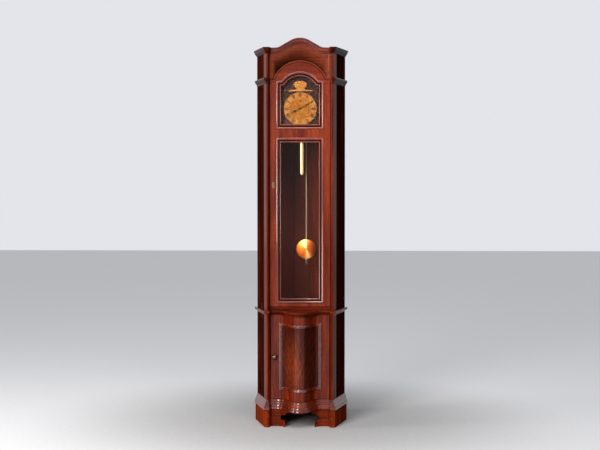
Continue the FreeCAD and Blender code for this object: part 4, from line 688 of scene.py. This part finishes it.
strand_low, strand_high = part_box("barrel_cable")
cable_radius = (strand_high[0] - strand_low[0]) / 2
cable_y = (strand_low[1] + strand_high[1]) / 2
barrel_z = strand_high[2]
drum_radius = 0.016
turn_pitch = 0.0021
turns_each_side = 4
turns = []
for index in range(-turns_each_side, turns_each_side + 1):
    bpy.ops.mesh.primitive_torus_add(major_segments=48, minor_segments=8,
                                     major_radius=drum_radius + cable_radius, minor_radius=cable_radius,
                                     location=(0.0, cable_y + index * turn_pitch, barrel_z), rotation=upright)
    bpy.ops.object.transform_apply(location=True, rotation=True, scale=True)
    turns.append(bpy.context.object)
cable_turns = joined(turns, "cable_turns")
cable_turns.data.materials.clear()
cable_turns.data.materials.append(cable_steel)
for face in cable_turns.data.polygons:
    face.use_smooth = True
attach(cable_turns, "barrel")

# Stage, light and camera

studio_tint = (0.93, 0.95, 1.0, 1.0)
floor_glow = 0.36
glow_starts, glow_full = 0.3, 1.6      # distances from the clock's foot, so that its shadow stays
lighting_level = 0.12                  # what the world adds to the light on the object
background_level = 0.82                # what the camera, mirrors and glass see


def seen_rays(tree):
    """1 for rays from the camera, a mirroring surface or glass, and 0 for all others."""
    paths = node(tree, "ShaderNodeLightPath").outputs
    mirrored = math_node(tree, "MAXIMUM", paths["Is Glossy Ray"], paths["Is Transmission Ray"])
    return math_node(tree, "MAXIMUM", paths["Is Camera Ray"], mirrored)


bpy.ops.object.select_all(action="DESELECT")
bpy.ops.mesh.primitive_plane_add(size=30.0, location=(0.0, 0.0, 0.0))
floor = bpy.context.object
floor.name = "studio_floor"
floor_paint, tree, shader = new_finish("floor paint")
speckle = noise(tree, stretched_coords(tree), 40.0, 3.0)
speckle_tone = ramp(tree, speckle, [(0.3, (0.46, 0.46, 0.47)), (0.7, (0.5, 0.5, 0.51))])
join(tree, speckle_tone, shader.inputs["Base Color"])
shader.inputs["Roughness"].default_value = 0.8
shader.inputs["Emission Color"].default_value = studio_tint
floor_place = node(tree, "ShaderNodeVectorMath", operation="LENGTH")
join(tree, node(tree, "ShaderNodeTexCoord").outputs["Object"], floor_place.inputs[0])
away = node(tree, "ShaderNodeMapRange", interpolation_type="SMOOTHSTEP")
away.inputs["From Min"].default_value = glow_starts
away.inputs["From Max"].default_value = glow_full
join(tree, floor_place.outputs["Value"], away.inputs["Value"])
paleness = math_node(tree, "MULTIPLY", away.outputs["Result"], floor_glow)
join(tree, math_node(tree, "MULTIPLY", seen_rays(tree), paleness), shader.inputs["Emission Strength"])
floor.data.materials.append(floor_paint)

world = bpy.data.worlds.new("studio")
bpy.context.scene.world = world
world.use_nodes = True
sky = world.node_tree
background = sky.nodes["Background"]
background.inputs["Color"].default_value = studio_tint
world_level = spread(sky, seen_rays(sky), lighting_level, background_level)
join(sky, world_level, background.inputs["Strength"])


def soft_lamp(name, place, target, width, height, watts, colour):
    """A large soft lamp at a place, turned to its target."""
    data = bpy.data.lights.new(name, "AREA")
    data.shape = "RECTANGLE"
    data.size = width
    data.size_y = height
    data.energy = watts
    data.color = colour
    lamp = bpy.data.objects.new(name, data)
    bpy.context.scene.collection.objects.link(lamp)
    lamp.location = place
    lamp.rotation_euler = (Vector(target) - Vector(place)).to_track_quat("-Z", "Y").to_euler()


soft_lamp("window light", (-2.0, -4.6, 2.0), (0.0, 0.0, 1.1), 1.6, 2.4, 270.0, (1.0, 0.97, 0.92))
soft_lamp("side light", (-3.6, -1.0, 1.4), (0.0, 0.0, 1.0), 0.8, 2.0, 60.0, (1.0, 0.97, 0.93))
soft_lamp("ceiling light", (0.2, -3.4, 4.2), (0.0, 0.0, 1.0), 4.0, 1.4, 130.0, (1.0, 0.98, 0.96))

camera_turn = math.radians(1.75)
camera_distance = 6.42       # from the plane below
post_front_y = -0.1545       # the plane that the camera is aimed at
camera_height = 1.297
aim_height = 1.043
aim_x = 0.001
lens_pixels = 1254.0         # focal length, in pixels of the frame's width
frame_pixels = 600.0
camera_data = bpy.data.cameras.new("camera")
camera_data.sensor_width = 36.0
camera_data.lens = lens_pixels / frame_pixels * camera_data.sensor_width
camera = bpy.data.objects.new("camera", camera_data)
bpy.context.scene.collection.objects.link(camera)
camera_place = Vector((camera_distance * math.sin(camera_turn),
                       post_front_y - camera_distance * math.cos(camera_turn), camera_height))
camera.location = camera_place
aim = Vector((aim_x, post_front_y, aim_height))
camera.rotation_euler = (aim - camera_place).to_track_quat("-Z", "Y").to_euler()
bpy.context.scene.camera = camera
bpy.context.scene.view_settings.view_transform = "Standard"
